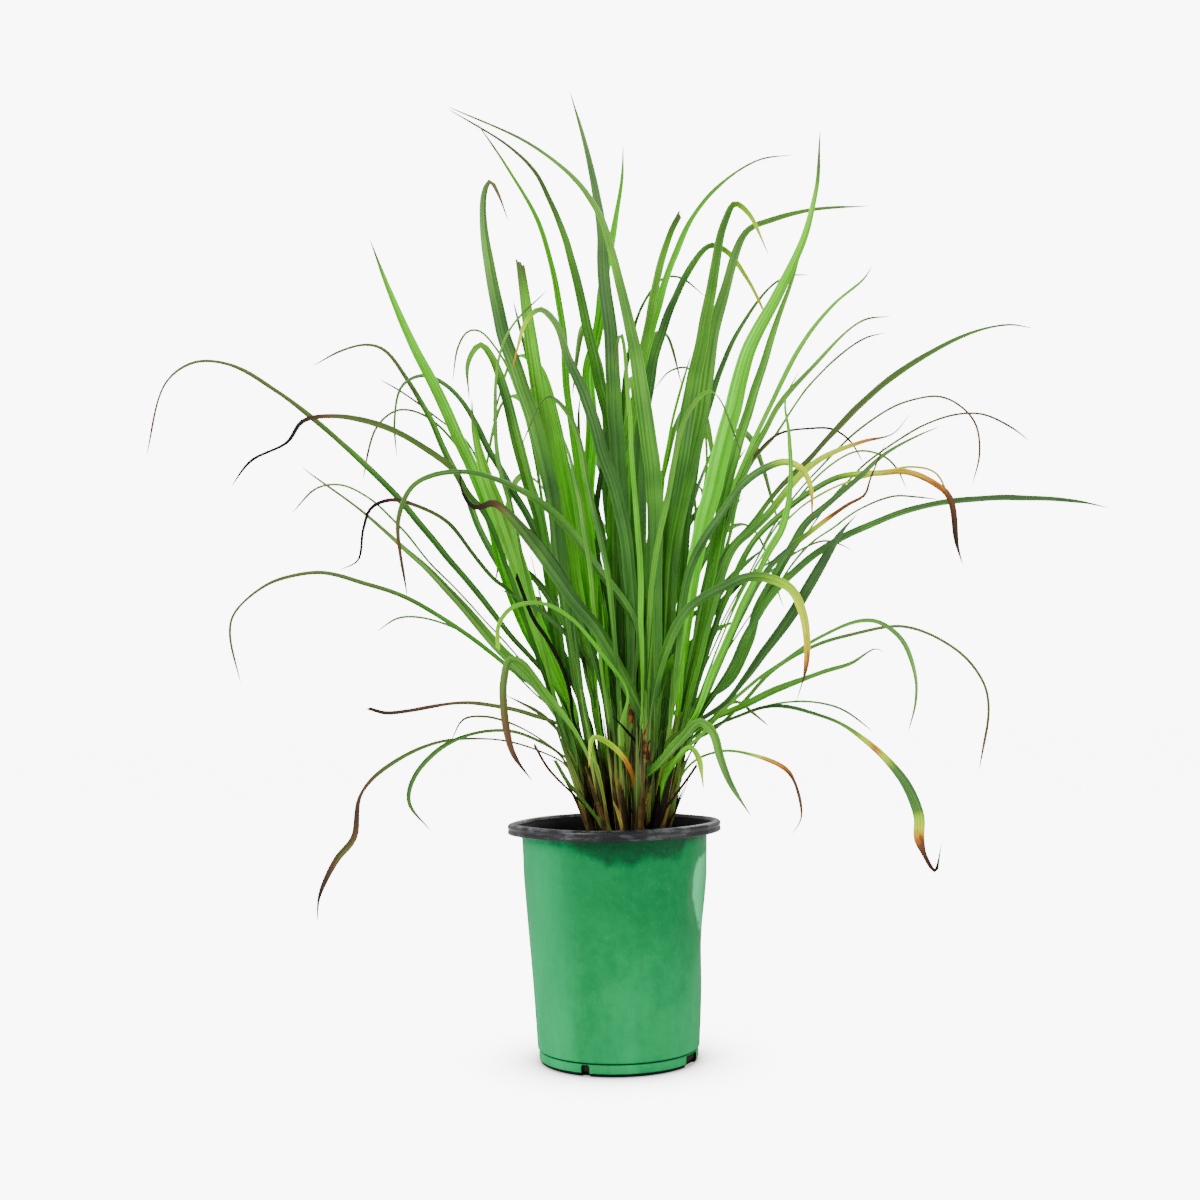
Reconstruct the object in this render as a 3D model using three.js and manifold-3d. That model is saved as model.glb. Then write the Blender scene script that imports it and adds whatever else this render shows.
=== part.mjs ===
// A potted lemongrass clump: a two-coloured nursery pot, its potting soil and twenty-six leafy stems.
// Millimetres, +Z up. The origin is the middle of the pot's flat underside.
import * as THREE from 'three';
import { mergeVertices } from 'three/addons/utils/BufferGeometryUtils.js';
import Module from 'manifold-3d';

const wasm = await Module();
wasm.setup();

// Pot: a blow-moulded trade-gallon nursery pot.
const POT_HEIGHT = 180;
const RIM_RADIUS = 82;
const WALL_TOP_RADIUS = 71.2;
const WALL_FOOT_RADIUS = 62.1;
const FOOT_RADIUS = 61;
const WALL = 1.4;
const FLOOR = 3;
const SKIRT_FOOT = 171.8;
const POT_SIDES = 40;
// Drains cut through the foot band: headings from the front (degrees) and widths.
const DRAINS = [[-24, 6.5], [64, 19], [156, 6.5], [244, 19]];
const DRAIN_DEPTH = 9;
const DRAIN_TOP = 8.4;

// Soil: level with a low mound round the stems.
const SOIL_EDGE = 157;
const SOIL_MIDDLE = 161;
const CLEARANCE = 0.4;

// Clump: stems on a sunflower spiral that fan out from the soil.
const CLUMP_X = 12;
const CLUMP_RADIUS = 27.3;
const STEMS = 26;
const GOLDEN_TURN = 137.508;
const FAN = 0.0105;
const FAN_START = 162;
const STEM_FOOT = 139;
const STEM_TOP = 292;
const STEM_RADII = [3.7, 3.8, 3.4, 2.3];
const STEM_SIDES = 6;
const MOST_LEAVES = 7;

// Blades.
const BLADE = 0.7;
const LONGEST_STEP = 72;
const MOST_BEND = 17.5;
const BLADE_GAP = 0.35;

// Leaf courses are drawn in the plane y = 0 as they look from EYE; depth then moves each point
// along its sight line, so a course keeps its look from the front however deep the leaf goes.
const EYE = new THREE.Vector3(0, -1156, 270);

const leafGreen = new THREE.MeshStandardMaterial({ color: 0x4f9a2e, roughness: 0.5, metalness: 0 });
const paleGreen = new THREE.MeshStandardMaterial({ color: 0x7fb84a, roughness: 0.5, metalness: 0 });
const potGreen = new THREE.MeshStandardMaterial({ color: 0x3f9a78, roughness: 0.45, metalness: 0 });
const soilBrown = new THREE.MeshStandardMaterial({ color: 0x2b2019, roughness: 0.95, metalness: 0 });

const radians = THREE.MathUtils.degToRad;
const lerp = THREE.MathUtils.lerp;

// Each leaf: depth of its tip (y, mm), width (mm), turn of its face away from the front along its
// length (degrees), course from foot to tip (x z pairs, mm). `taper` is where it starts to narrow and
// `end` is the width left at its tip; both are shares.
const leaf = (depth, width, turns, course, { taper = 0.45, end = 0.13 } = {}) => ({
  depth,
  width,
  turns: turns.split(' ').map(Number),
  course: course.split(', ').map((pair) => pair.split(' ').map(Number)),
  taper,
  end,
});

const BLUNT = { taper: 0.75, end: 0.7 };
const LATE = { taper: 0.72 };

const LEAVES = [
  // Low front leaves that bend over and hang.
  leaf(-150, 7.7, '10 20 65 0 0 40', '31 270, 59 340, 90 360, 113 368, 140 359, 150 343, 154 318, 152 296, 143 268', LATE),
  leaf(-120, 6.5, '10 0 0 20', '18 206, 36 223, 52 241, 67 255, 77 247, 83 227, 90 208, 106 182'),
  leaf(-140, 9, '10 0 0 50 30 20', '61 374, 88 417, 104 438, 125 453, 142 458, 154 452, 160 438, 160 412', LATE),
  leaf(-130, 9, '10 0 0 20 70', '28 245, 13 286, -7 324, -31 356, -57 395, -76 419, -90 431, -105 428, -115 441, -116 457'),
  leaf(-120, 6, '10 10 40 80 50 40', '20 330, -9 378, -26 402, -48 425, -78 445, -110 456, -135 455, -155 445, -166 418, -159 358'),
  leaf(-150, 3.8, '20 30 60 20', '12 280, -5 305, -30 336, -53 350, -76 348, -87 335, -88 315', BLUNT),
  leaf(-110, 6.3, '10 20 60 0 0 40', '-30 250, -52 282, -70 305, -79 307, -84 290, -85 272, -83 251, -78 233, -63 212', LATE),
  leaf(-95, 4, '20 10 40 20', '20 190, 18 202, 14 219, 5 234, -8 244, -15 245, -19 222', LATE),
  leaf(-90, 4, '20 40 10', '40 212, 52 230, 60 236, 66 229, 70 204', LATE),
  leaf(-80, 3.6, '60 70 10 40', '52 212, 66 227, 87 233, 108 229, 133 218, 140 208, 145 181, 137 167', LATE),
  leaf(-110, 9.8, '40 75 70 50 5 60', '70 245, 99 259, 127 266, 159 259, 188 245, 210 226, 227 204, 236 180, 236 160, 247 137, 253 159', LATE),
  leaf(-70, 4, '40 60 40 0 80 0 60', '-35 222, -56 235, -87 244, -118 246, -147 241, -174 227, -197 204, -202 172, -216 155, -229 127, -231 108', LATE),
  leaf(-60, 3.8, '60 70 0 20 60', '-40 230, -56 242, -79 251, -109 250, -135 239, -153 220, -159 198, -142 175', LATE),
  // Tall leaves of the middle.
  leaf(-60, 9.5, '0 0 0 50 60', '18 345, 17 382, 10 431, -2 470, -14 514, -27 545, -37 574, -50 586, -62 577, -74 537'),
  leaf(-40, 9.5, '10 0 0 0 60', '-42 404, -50 457, -67 524, -82 577, -93 640, -94 677, -89 689, -83 679, -75 657'),
  leaf(60, 9.5, '20 10 30 75', '8 461, -3 521, -14 575, -31 644, -52 694, -73 717, -122 750'),
  leaf(-90, 9, '10 0 40 80', '35 375, 36 429, 31 495, 19 575, 5 644, -11 677, -33 702, -63 724, -122 752'),
  leaf(-50, 5.5, '10 20 60 70', '-15 388, -24 448, -30 517, -34 570, -44 625, -55 662, -75 700, -99 738'),
  leaf(20, 8, '0 10 30 60', '12 400, 8 480, 5 555, 1 600, -1 656, -8 704, -24 763'),
  leaf(90, 9, '0 0 60 60', '-16 403, -13 482, -14 535, -6 562, 0 607, 9 649, 16 689, 18 717'),
  leaf(110, 7.5, '0 20 30', '5 440, 14 475, 25 520, 36 575, 44 614, 54 645, 62 660', BLUNT),
  leaf(150, 6.5, '0 0 50 80', '20 480, 36 561, 45 590, 55 623, 73 659, 98 686, 127 703, 153 706'),
  leaf(40, 10, '0 10 60 70 60', '24 400, 25 450, 30 505, 44 558, 65 609, 86 634, 99 629, 115 606, 133 565'),
  leaf(130, 4.5, '20 40 60', '10 460, 18 545, 30 585, 48 608, 62 608, 81 592'),
  leaf(-30, 8.5, '0 0 60 50', '42 376, 56 456, 68 516, 79 573, 89 616, 97 651, 106 668, 117 660, 132 625'),
  leaf(30, 10, '0 0 10 60 75 80', '49 375, 61 434, 75 492, 88 567, 100 603, 116 643, 135 652, 167 660, 213 663'),
  leaf(100, 6, '20 30 60', '72 470, 80 505, 94 541, 116 579, 136 602, 150 608, 164 608'),
  leaf(-70, 14, '50 25 0 0 50 75', '67 382, 82 435, 101 505, 117 553, 137 590, 161 640, 172 680, 176 726'),
  leaf(10, 8, '20 10 20', '84 388, 93 434, 108 487, 126 540, 138 575, 150 605, 158 628'),
  leaf(60, 4.5, '0 40 20', '95 425, 112 467, 134 512, 160 557, 185 586, 207 604, 214 614', LATE),
  leaf(-20, 12, '0 0 10', '-33 400, -41 442, -50 495, -55 535, -60 575, -66 623', { taper: 0.5, end: 0.35 }),
  leaf(70, 4, '20 30', '-50 480, -56 515, -62 546, -69 579, -72 592'),
  leaf(-110, 4.5, '30 20 60 75', '-65 370, -78 436, -86 470, -87 500, -85 536, -79 559, -70 575, -45 600'),
  leaf(-20, 9, '0 0 20 40', '-55 415, -64 448, -72 483, -80 518, -89 546, -98 557, -108 543, -108 513'),
  leaf(-70, 12, '40 10 0 30 50', '-31 262, -44 294, -59 333, -70 372, -85 420, -97 457, -105 497, -106 515'),
  leaf(-90, 4, '10 30', '-20 420, -25 447, -30 470, -37 489'),
  leaf(70, 4.5, '10 20', '-10 398, -9 431, -4 464, 2 500, 8 540'),
  leaf(100, 2.6, '20 40', '-20 440, -22 475, -22 500, -20 515'),
  leaf(90, 3.2, '20 40', '40 402, 43 442, 50 485, 58 515, 68 545'),
  leaf(60, 2.4, '30 60', '66 490, 72 520, 66 535, 51 533, 38 518'),
  leaf(140, 2.8, '30 50', '70 400, 75 434, 78 460, 77 493, 74 515'),
  leaf(90, 3.6, '20 30', '65 387, 69 415, 67 443, 64 470'),
  leaf(160, 4.6, '10 30', '50 380, 63 409, 79 433, 96 451, 110 470'),
  // Long leaves to the right.
  leaf(110, 6, '20 40 60', '105 444, 120 474, 140 507, 166 536, 194 563, 208 571, 227 573'),
  leaf(170, 2.6, '40 60', '110 450, 132 479, 153 510, 179 537, 206 556, 222 560'),
  leaf(-130, 7, '30 20 50 75 80', '66 261, 80 293, 94 323, 111 359, 125 385, 137 405, 143 430, 145 452, 144 482, 142 508, 153 530'),
  leaf(90, 3.6, '60 60', '100 440, 118 466, 136 481, 160 485, 178 484, 192 474, 202 456'),
  leaf(40, 7.5, '20 20 50 70 50 75', '89 380, 112 406, 136 435, 164 463, 199 500, 240 533, 290 558, 321 564, 340 561'),
  leaf(-80, 6, '20 10 0 50', '96 388, 112 404, 127 419, 148 443, 169 460, 203 473, 226 479, 241 496'),
  leaf(140, 2.8, '60 60', '128 405, 150 435, 170 455, 200 483, 231 502, 263 508, 280 500, 291 485, 293 461, 287 438'),
  leaf(-50, 6.5, '10 30 60 60', '92 287, 107 318, 116 345, 143 389, 156 409, 174 424, 199 444, 220 463, 246 477, 263 484'),
  leaf(90, 2.6, '60 60', '150 430, 175 455, 198 466, 218 461, 228 451, 235 435'),
  leaf(-40, 3, '60 50 30 60', '110 390, 140 420, 165 437, 183 445, 212 447, 234 448, 256 439, 268 428, 273 390, 277 374', LATE),
  leaf(60, 2.6, '60 60', '120 385, 150 420, 180 437, 213 447, 240 452, 258 447, 270 420'),
  leaf(-90, 3.2, '40 30 60', '120 370, 145 393, 164 407, 187 423, 202 431, 207 444, 220 473', LATE),
  leaf(110, 2.6, '60 60', '150 385, 180 408, 201 421, 225 429, 244 428, 260 426'),
  leaf(-30, 5.2, '40 30 45 50', '95 300, 108 325, 131 357, 149 374, 170 390, 199 404, 238 418, 281 425, 326 426, 370 422, 392 417', LATE),
  leaf(-110, 7, '80 30 0 40', '90 270, 103 285, 120 308, 138 331, 156 360, 168 379, 183 402, 196 416', LATE),
  leaf(60, 2.6, '60 60', '120 365, 135 378, 150 388, 169 395, 184 391, 191 387'),
  leaf(160, 2.6, '60 60', '165 415, 190 443, 204 456, 243 482, 270 492, 296 493, 319 482, 333 471'),
  leaf(60, 3, '60 50 60 40', '80 250, 101 269, 126 295, 161 314, 196 323, 230 326, 266 310, 288 285, 293 265, 284 215', LATE),
  leaf(-60, 5, '20 20 70 80 30 60', '75 250, 101 276, 129 298, 165 320, 193 331, 209 330, 227 316, 237 287, 236 267, 230 245'),
  leaf(-20, 5, '20 10 60 40', '80 258, 99 266, 128 280, 165 293, 187 299, 207 310, 213 307'),
  leaf(90, 2.6, '60 60', '75 250, 99 260, 120 267, 150 270, 179 263, 202 246'),
  leaf(-40, 3, '60 30', '65 245, 77 256, 88 266, 98 270, 109 262, 122 251'),
  // Long leaves to the left.
  leaf(-30, 9, '20 10 0 10 30', '-39 273, -55 306, -72 343, -85 385, -96 430, -112 472, -132 518, -151 555, -170 600, -186 645'),
  leaf(60, 4.8, '20 10 50 60 75', '-43 283, -81 329, -101 356, -135 399, -170 440, -209 479, -261 523, -298 545, -326 548, -349 532, -364 474'),
  leaf(-80, 5, '20 20 40 60', '-95 415, -111 438, -122 457, -148 478, -176 493, -213 502, -240 499, -253 482, -281 468, -297 448'),
  leaf(110, 5, '20 20 60', '-80 370, -101 411, -111 438, -127 470, -142 503, -160 534, -176 555, -189 559, -208 555, -232 543'),
  leaf(140, 2.6, '60 60', '-95 430, -102 461, -111 480, -131 497, -161 520, -179 531'),
  leaf(90, 5.5, '0 0 50 60', '-45 385, -59 411, -77 444, -91 470, -107 499, -125 523, -144 533, -160 526, -167 500, -166 469'),
  leaf(150, 3.2, '60 50', '-90 430, -111 466, -132 492, -150 504, -166 505, -182 491, -193 451'),
  leaf(120, 2.8, '60 60', '-60 480, -72 520, -82 547, -99 568, -108 568, -116 556, -121 529'),
  leaf(-70, 4.2, '10 20 60 60', '-75 355, -91 370, -109 393, -126 415, -146 427, -170 434, -186 428, -192 412, -197 387, -212 380', LATE),
  leaf(-50, 7.5, '10 0 30 70', '-31 236, -54 280, -86 315, -108 342, -137 375, -161 397, -198 430, -241 462'),
  leaf(100, 2.8, '60 60', '-110 350, -141 384, -162 410, -189 436, -211 447, -229 445, -249 426'),
  leaf(70, 3.6, '50 30 60', '-51 276, -79 300, -119 333, -160 358, -194 370, -229 378, -267 370, -294 348, -298 333, -290 293'),
  leaf(120, 2.6, '60 60', '-60 280, -90 310, -119 331, -147 341, -166 341, -183 331'),
  leaf(-30, 3.6, '60 60 60 20', '-37 251, -63 264, -91 271, -121 273, -158 268, -177 267, -190 271', BLUNT),
  leaf(50, 2.6, '60 60', '-45 236, -65 250, -84 259, -101 263, -116 261, -126 244'),
  leaf(-90, 3.2, '20 20', '-30 258, -32 280, -38 301, -49 321, -60 338, -73 373', BLUNT),
  leaf(40, 7.6, '0 10', '-29 284, -37 306, -46 327, -58 356', BLUNT),
  leaf(-20, 3.2, '20 20', '-42 250, -56 265, -72 274, -82 279'),
  leaf(-40, 2.2, '40 40', '-20 190, -34 204, -50 221, -61 240', BLUNT),
  leaf(-60, 3, '20 20', '-23 195, -34 209, -45 228', BLUNT),
  leaf(-80, 2.2, '20 20', '22 234, 12 249, 0 262'),
  leaf(-40, 2.2, '20 20', '46 196, 58 212, 65 222', BLUNT),
];

// Leaves that reach to the back and the front: heading (degrees from +X), reach out (mm), rise (mm),
// drop of the tip below the top of the arch (mm), width (mm).
const BACK_LEAVES = [
  [66, 150, 330, 40, 9], [84, 210, 300, 90, 8], [104, 170, 340, 50, 10], [118, 230, 270, 90, 7],
  [76, 290, 210, 120, 6], [96, 110, 380, 20, 9], [112, 260, 200, 90, 6], [56, 220, 250, 80, 7],
  [106, 300, 180, 110, 5], [68, 230, 260, 90, 8], [88, 320, 150, 130, 5], [122, 170, 300, 50, 8],
  [62, 280, 170, 70, 5], [98, 250, 230, 70, 6], [100, 240, 130, 110, 6], [80, 180, 140, 90, 6],
  [262, 130, 250, 30, 7], [298, 140, 210, 50, 7], [240, 130, 220, 40, 6],
];

// Upright leaves that fill the middle of the clump, drawn at random from a fixed seed.
const FILLERS = 18;
const FILLER_SEED = 26;

const DRY_SHEATH_LENGTHS = [34, 46, 28, 52, 38, 60];

// A closed solid lofted through rings of equal point counts; the two broad faces of a four-point
// ring are split alike.
function loft(rings) {
  const sides = rings[0].length;
  const index = [];
  rings.slice(1).forEach((_, station) => {
    const lower = station * sides;
    const upper = lower + sides;
    for (let side = 0; side < sides; side += 1) {
      const next = (side + 1) % sides;
      if (side * 2 < sides) {
        index.push(lower + side, lower + next, upper + next, lower + side, upper + next, upper + side);
      } else {
        index.push(lower + side, lower + next, upper + side, lower + next, upper + next, upper + side);
      }
    }
  });
  const last = (rings.length - 1) * sides;
  for (let side = 1; side < sides - 1; side += 1) {
    index.push(0, side + 1, side);
    index.push(last, last + side, last + side + 1);
  }
  const geometry = new THREE.BufferGeometry();
  const numbers = rings.flat().flatMap((point) => point.toArray());
  geometry.setAttribute('position', new THREE.Float32BufferAttribute(numbers, 3));
  geometry.setIndex(index);
  return geometry;
}

function solid(geometry) {
  const bare = geometry.clone();
  bare.deleteAttribute('normal');
  bare.deleteAttribute('uv');
  const merged = mergeVertices(bare, 1e-4);
  const mesh = new wasm.Mesh({
    numProp: 3,
    vertProperties: new Float32Array(merged.attributes.position.array),
    triVerts: new Uint32Array(merged.index.array),
  });
  return new wasm.Manifold(mesh);
}

// The outer skin of a fused solid: pockets sealed between crossing blades are filled.
function outerSkin(manifold) {
  return manifold.decompose().reduce((best, part) => (part.volume() > best.volume() ? part : best));
}

function geometryOf(manifold) {
  const mesh = manifold.getMesh();
  const geometry = new THREE.BufferGeometry();
  geometry.setAttribute('position', new THREE.BufferAttribute(new Float32Array(mesh.vertProperties), 3));
  geometry.setIndex(new THREE.BufferAttribute(new Uint32Array(mesh.triVerts), 1));
  geometry.computeVertexNormals();
  return geometry;
}

// Stems ----------------------------------------------------------------------------------------

function stemPoint(stem, height) {
  const spread = 1 + FAN * Math.max(height - FAN_START, 0);
  return new THREE.Vector3(CLUMP_X + stem.x * spread, stem.y * spread, height);
}

function stemHeights(stem) {
  return [STEM_FOOT, FAN_START, lerp(FAN_START, stem.top, 0.5), stem.top];
}

function makeStems() {
  return Array.from({ length: STEMS }, (_, order) => {
    const radius = CLUMP_RADIUS * Math.sqrt((order + 0.5) / STEMS);
    const turn = radians(order * GOLDEN_TURN);
    const top = STEM_TOP - 0.9 * radius + 6 * (order % 3);
    return { x: radius * Math.cos(turn), y: radius * Math.sin(turn), top, leaves: [] };
  });
}

function tubeRings(stem, radii, heights) {
  return heights.map((height, station) => {
    const radius = radii[station];
    const centre = stemPoint(stem, height);
    return Array.from({ length: STEM_SIDES }, (_, side) => {
      const turn = (2 * Math.PI * side) / STEM_SIDES;
      return new THREE.Vector3(centre.x + radius * Math.cos(turn), centre.y + radius * Math.sin(turn), height);
    });
  });
}

// Blades ---------------------------------------------------------------------------------------

// Value of a list of numbers at a share of the way along it.
function along(list, share) {
  const place = share * (list.length - 1);
  const lower = Math.min(Math.floor(place), list.length - 2);
  return list.length === 1 ? list[0] : lerp(list[lower], list[lower + 1], place - lower);
}

function widthAt(blade, share) {
  const foot = Math.min(1, 0.5 + 1.4 * share);
  const narrowing = Math.max(0, (share - blade.taper) / (1 - blade.taper));
  return blade.width * foot * (1 - (1 - blade.end) * narrowing ** 1.5);
}

// Stations along a spline: a new one after a long enough run or a large enough bend.
function stationsOf(points) {
  const curve = new THREE.CatmullRomCurve3(points, false, 'centripetal');
  const samples = curve.getPoints(8 * (points.length - 1));
  const lengths = [0];
  samples.slice(1).forEach((point, i) => lengths.push(lengths[i] + point.distanceTo(samples[i])));
  const total = lengths.at(-1);
  const stations = [{ point: samples[0], share: 0 }];
  let lastLength = 0;
  let bend = 0;
  for (let i = 1; i < samples.length - 1; i += 1) {
    const before = samples[i].clone().sub(samples[i - 1]);
    const after = samples[i + 1].clone().sub(samples[i]);
    bend += THREE.MathUtils.radToDeg(before.angleTo(after));
    const run = lengths[i] - lastLength;
    const left = total - lengths[i];
    if ((bend > MOST_BEND || run > LONGEST_STEP) && run > 5 && left > 5) {
      stations.push({ point: samples[i], share: lengths[i] / total });
      lastLength = lengths[i];
      bend = 0;
    }
  }
  stations.push({ point: samples.at(-1), share: 1 });
  return stations;
}

// Centre, half width and half thickness at every station of a blade.
function ribs(blade, points) {
  const stations = stationsOf(points);
  return stations.map(({ point, share }, i) => {
    const before = stations[Math.max(i - 1, 0)].point;
    const after = stations[Math.min(i + 1, stations.length - 1)].point;
    const tangent = after.clone().sub(before).normalize();
    const facing = blade.facing ?? point.clone().sub(EYE).normalize();
    const flat = tangent.clone().cross(facing).normalize();
    const deep = tangent.clone().cross(flat);
    const turn = radians(along(blade.turns, share));
    const across = flat.multiplyScalar(Math.cos(turn)).add(deep.multiplyScalar(Math.sin(turn)));
    const thick = tangent.clone().cross(across).multiplyScalar(BLADE / 2);
    const half = across.multiplyScalar(Math.max(widthAt(blade, share), 1) / 2);
    return { point, half, thick };
  });
}

function bladeRings(bladeRibs) {
  return bladeRibs.map(({ point, half, thick }) => [
    point.clone().sub(half).add(thick),
    point.clone().sub(half).sub(thick),
    point.clone().add(half).sub(thick),
    point.clone().add(half).add(thick),
  ]);
}

// Points of a leaf in space: up inside its stem, then along its course at its depth.
function leafPoints(blade, stem, depth) {
  const [footX, footZ] = blade.course[0];
  const leave = Math.min(Math.max(footZ - 26, 172), stem.top - 6);
  const start = stemPoint(stem, leave);
  const lengths = [Math.hypot(footX - start.x, footZ - start.z)];
  blade.course.slice(1).forEach(([x, z], i) => {
    lengths.push(lengths[i] + Math.hypot(x - blade.course[i][0], z - blade.course[i][1]));
  });
  const total = lengths.at(-1);
  const outer = blade.course.map(([x, z], i) => {
    const y = start.y + (depth - start.y) * (lengths[i] / total) ** 1.5;
    const sight = new THREE.Vector3(x, 0, z).sub(EYE);
    return EYE.clone().add(sight.multiplyScalar((y - EYE.y) / -EYE.y));
  });
  return [stemPoint(stem, leave - 24), start, ...outer];
}

// Clearance ------------------------------------------------------------------------------------

// Straight stretches between ribs, each as a box: middle, half run, half width and half thickness.
function stretches(bladeRibs) {
  return bladeRibs.slice(1).map((upper, i) => {
    const lower = bladeRibs[i];
    const middle = lower.point.clone().add(upper.point).multiplyScalar(0.5);
    const run = upper.point.clone().sub(lower.point).multiplyScalar(0.5);
    return { middle, run, halves: [lower.half, upper.half], thicks: [lower.thick, upper.thick] };
  });
}

function reachAlong(stretch, axis) {
  const half = Math.max(...stretch.halves.map((vector) => Math.abs(vector.dot(axis))));
  const thick = Math.max(...stretch.thicks.map((vector) => Math.abs(vector.dot(axis))));
  return Math.abs(stretch.run.dot(axis)) + half + thick;
}

// Two stretches are clear where some axis has a gap between their shadows on it.
function clear(first, second) {
  const apart = second.middle.clone().sub(first.middle);
  const near = first.run.length() + second.run.length() + first.halves[0].length() + second.halves[0].length();
  if (apart.length() > near + 8) return true;
  const pairs = [
    [first.run, first.halves[0]], [first.run, first.halves[1]], [second.run, second.halves[0]],
    [second.run, second.halves[1]], [first.run, second.run], [first.run, second.halves[0]],
    [first.halves[0], second.run], [first.run, apart], [second.run, apart],
  ];
  const axes = pairs.map(([a, b]) => a.clone().cross(b));
  axes.push(first.run.clone(), second.run.clone(), apart.clone());
  axes.push(axes[7].clone().cross(first.run), axes[8].clone().cross(second.run));
  return axes.some((axis) => {
    const length = axis.length();
    if (length < 1e-6) return false;
    axis.divideScalar(length);
    return Math.abs(apart.dot(axis)) - reachAlong(first, axis) - reachAlong(second, axis) > BLADE_GAP;
  });
}

function stemStretches(stem) {
  const heights = stemHeights(stem);
  const tall = STEM_RADII.map((radius, station) => {
    const height = heights[station];
    const half = new THREE.Vector3(radius, 0, 0);
    return { point: stemPoint(stem, height), half, thick: new THREE.Vector3(0, radius, 0) };
  });
  return stretches(tall);
}

function clearOfOthers(parts, stem, stems) {
  return stems.every((other) => {
    if (other === stem) return true;
    return parts.every((part) => other.parts.every((taken) => clear(part, taken)));
  });
}

// Depth changes that are tried, nearest first.
const SHIFTS = [0, 12, -12, 24, -24, 38, -38, 54, -54, 72, -72, 92, -92, 114, -114, 140, -140];

// The choices of stem and depth for a leaf, the most natural first.
function choices(blade, stems) {
  const [footX, footZ] = blade.course[0];
  const list = [];
  stems.filter((stem) => stem.leaves.length < MOST_LEAVES).forEach((stem) => {
    const beside = stemPoint(stem, Math.min(footZ, 420));
    const miss = Math.abs(beside.x - footX) + 0.5 * Math.abs(beside.y - 0.3 * blade.depth);
    SHIFTS.forEach((shift) => {
      const effort = miss + 3 * stem.leaves.length + 0.35 * Math.abs(shift);
      list.push({ stem, depth: blade.depth + shift, effort });
    });
  });
  return list.sort((a, b) => a.effort - b.effort);
}

function plant(blade, stems) {
  for (const { stem, depth } of choices(blade, stems)) {
    const bladeRibs = ribs(blade, leafPoints(blade, stem, depth));
    const parts = stretches(bladeRibs);
    if (clearOfOthers(parts, stem, stems)) {
      stem.leaves.push(bladeRings(bladeRibs));
      stem.parts.push(...parts);
      return true;
    }
  }
  return false;
}

// Mulberry32: the same numbers from 0 to 1 for the same seed.
function randomFrom(seed) {
  let state = seed;
  return () => {
    state = (state + 0x6d2b79f5) | 0;
    let mixed = Math.imul(state ^ (state >>> 15), 1 | state);
    mixed = (mixed + Math.imul(mixed ^ (mixed >>> 7), 61 | mixed)) ^ mixed;
    return ((mixed ^ (mixed >>> 14)) >>> 0) / 4294967296;
  };
}

function fillers() {
  const random = randomFrom(FILLER_SEED);
  return Array.from({ length: FILLERS }, () => {
    const lean = 2 * random() - 1;
    const height = lerp(370, 520, random()) - 90 * Math.abs(lean);
    const depth = lerp(-70, 160, random());
    const width = lerp(4.5, 7.5, random());
    const turn = 70 * random();
    const footX = CLUMP_X + 6 + 42 * lean;
    const tipX = footX + 78 * lean + 24 * (random() - 0.5);
    const course = [
      [footX, 300],
      [lerp(footX, tipX, 0.22), lerp(300, height, 0.36)],
      [lerp(footX, tipX, 0.55), lerp(300, height, 0.72)],
      [tipX, height],
    ];
    return { depth, width, turns: [turn, 0.4 * turn, 60], course, taper: 0.4, end: 0.13 };
  });
}

// An arching leaf that heads away from the clump; it goes on the stem that leans that way.
function arch([heading, reach, rise, drop, width]) {
  const turn = radians(heading);
  const out = new THREE.Vector3(Math.cos(turn), Math.sin(turn), 0);
  const facing = new THREE.Vector3(-Math.sin(turn), Math.cos(turn), 0);
  return { out, facing, reach, rise, drop, width, turns: [90], taper: 0.4, end: 0.13 };
}

function archPoints(blade, stem, swing) {
  const out = blade.out.clone().applyAxisAngle(new THREE.Vector3(0, 0, 1), radians(swing));
  const leave = stem.top - 6;
  const start = stemPoint(stem, leave);
  const shares = [[0.08, 0.3], [0.26, 0.68], [0.5, 0.95], [0.74, 1]];
  const outer = shares.map(([far, high]) => start.clone().addScaledVector(out, far * blade.reach)
    .setZ(leave + high * blade.rise));
  const tip = start.clone().addScaledVector(out, blade.reach).setZ(leave + blade.rise - blade.drop);
  return [stemPoint(stem, leave - 24), start, ...outer, tip];
}

function plantArch(blade, stems) {
  const leaning = stems.filter((stem) => stem.leaves.length < MOST_LEAVES)
    .map((stem) => ({ stem, lean: stem.x * blade.out.x + stem.y * blade.out.y - 3 * stem.leaves.length }))
    .sort((a, b) => b.lean - a.lean);
  for (const { stem } of leaning) {
    for (const swing of [0, 5, -5, 10, -10, 16, -16]) {
      const bladeRibs = ribs(blade, archPoints(blade, stem, swing));
      const parts = stretches(bladeRibs);
      if (clearOfOthers(parts, stem, stems)) {
        stem.leaves.push(bladeRings(bladeRibs));
        stem.parts.push(...parts);
        return true;
      }
    }
  }
  return false;
}

// Pot and soil ---------------------------------------------------------------------------------

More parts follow.
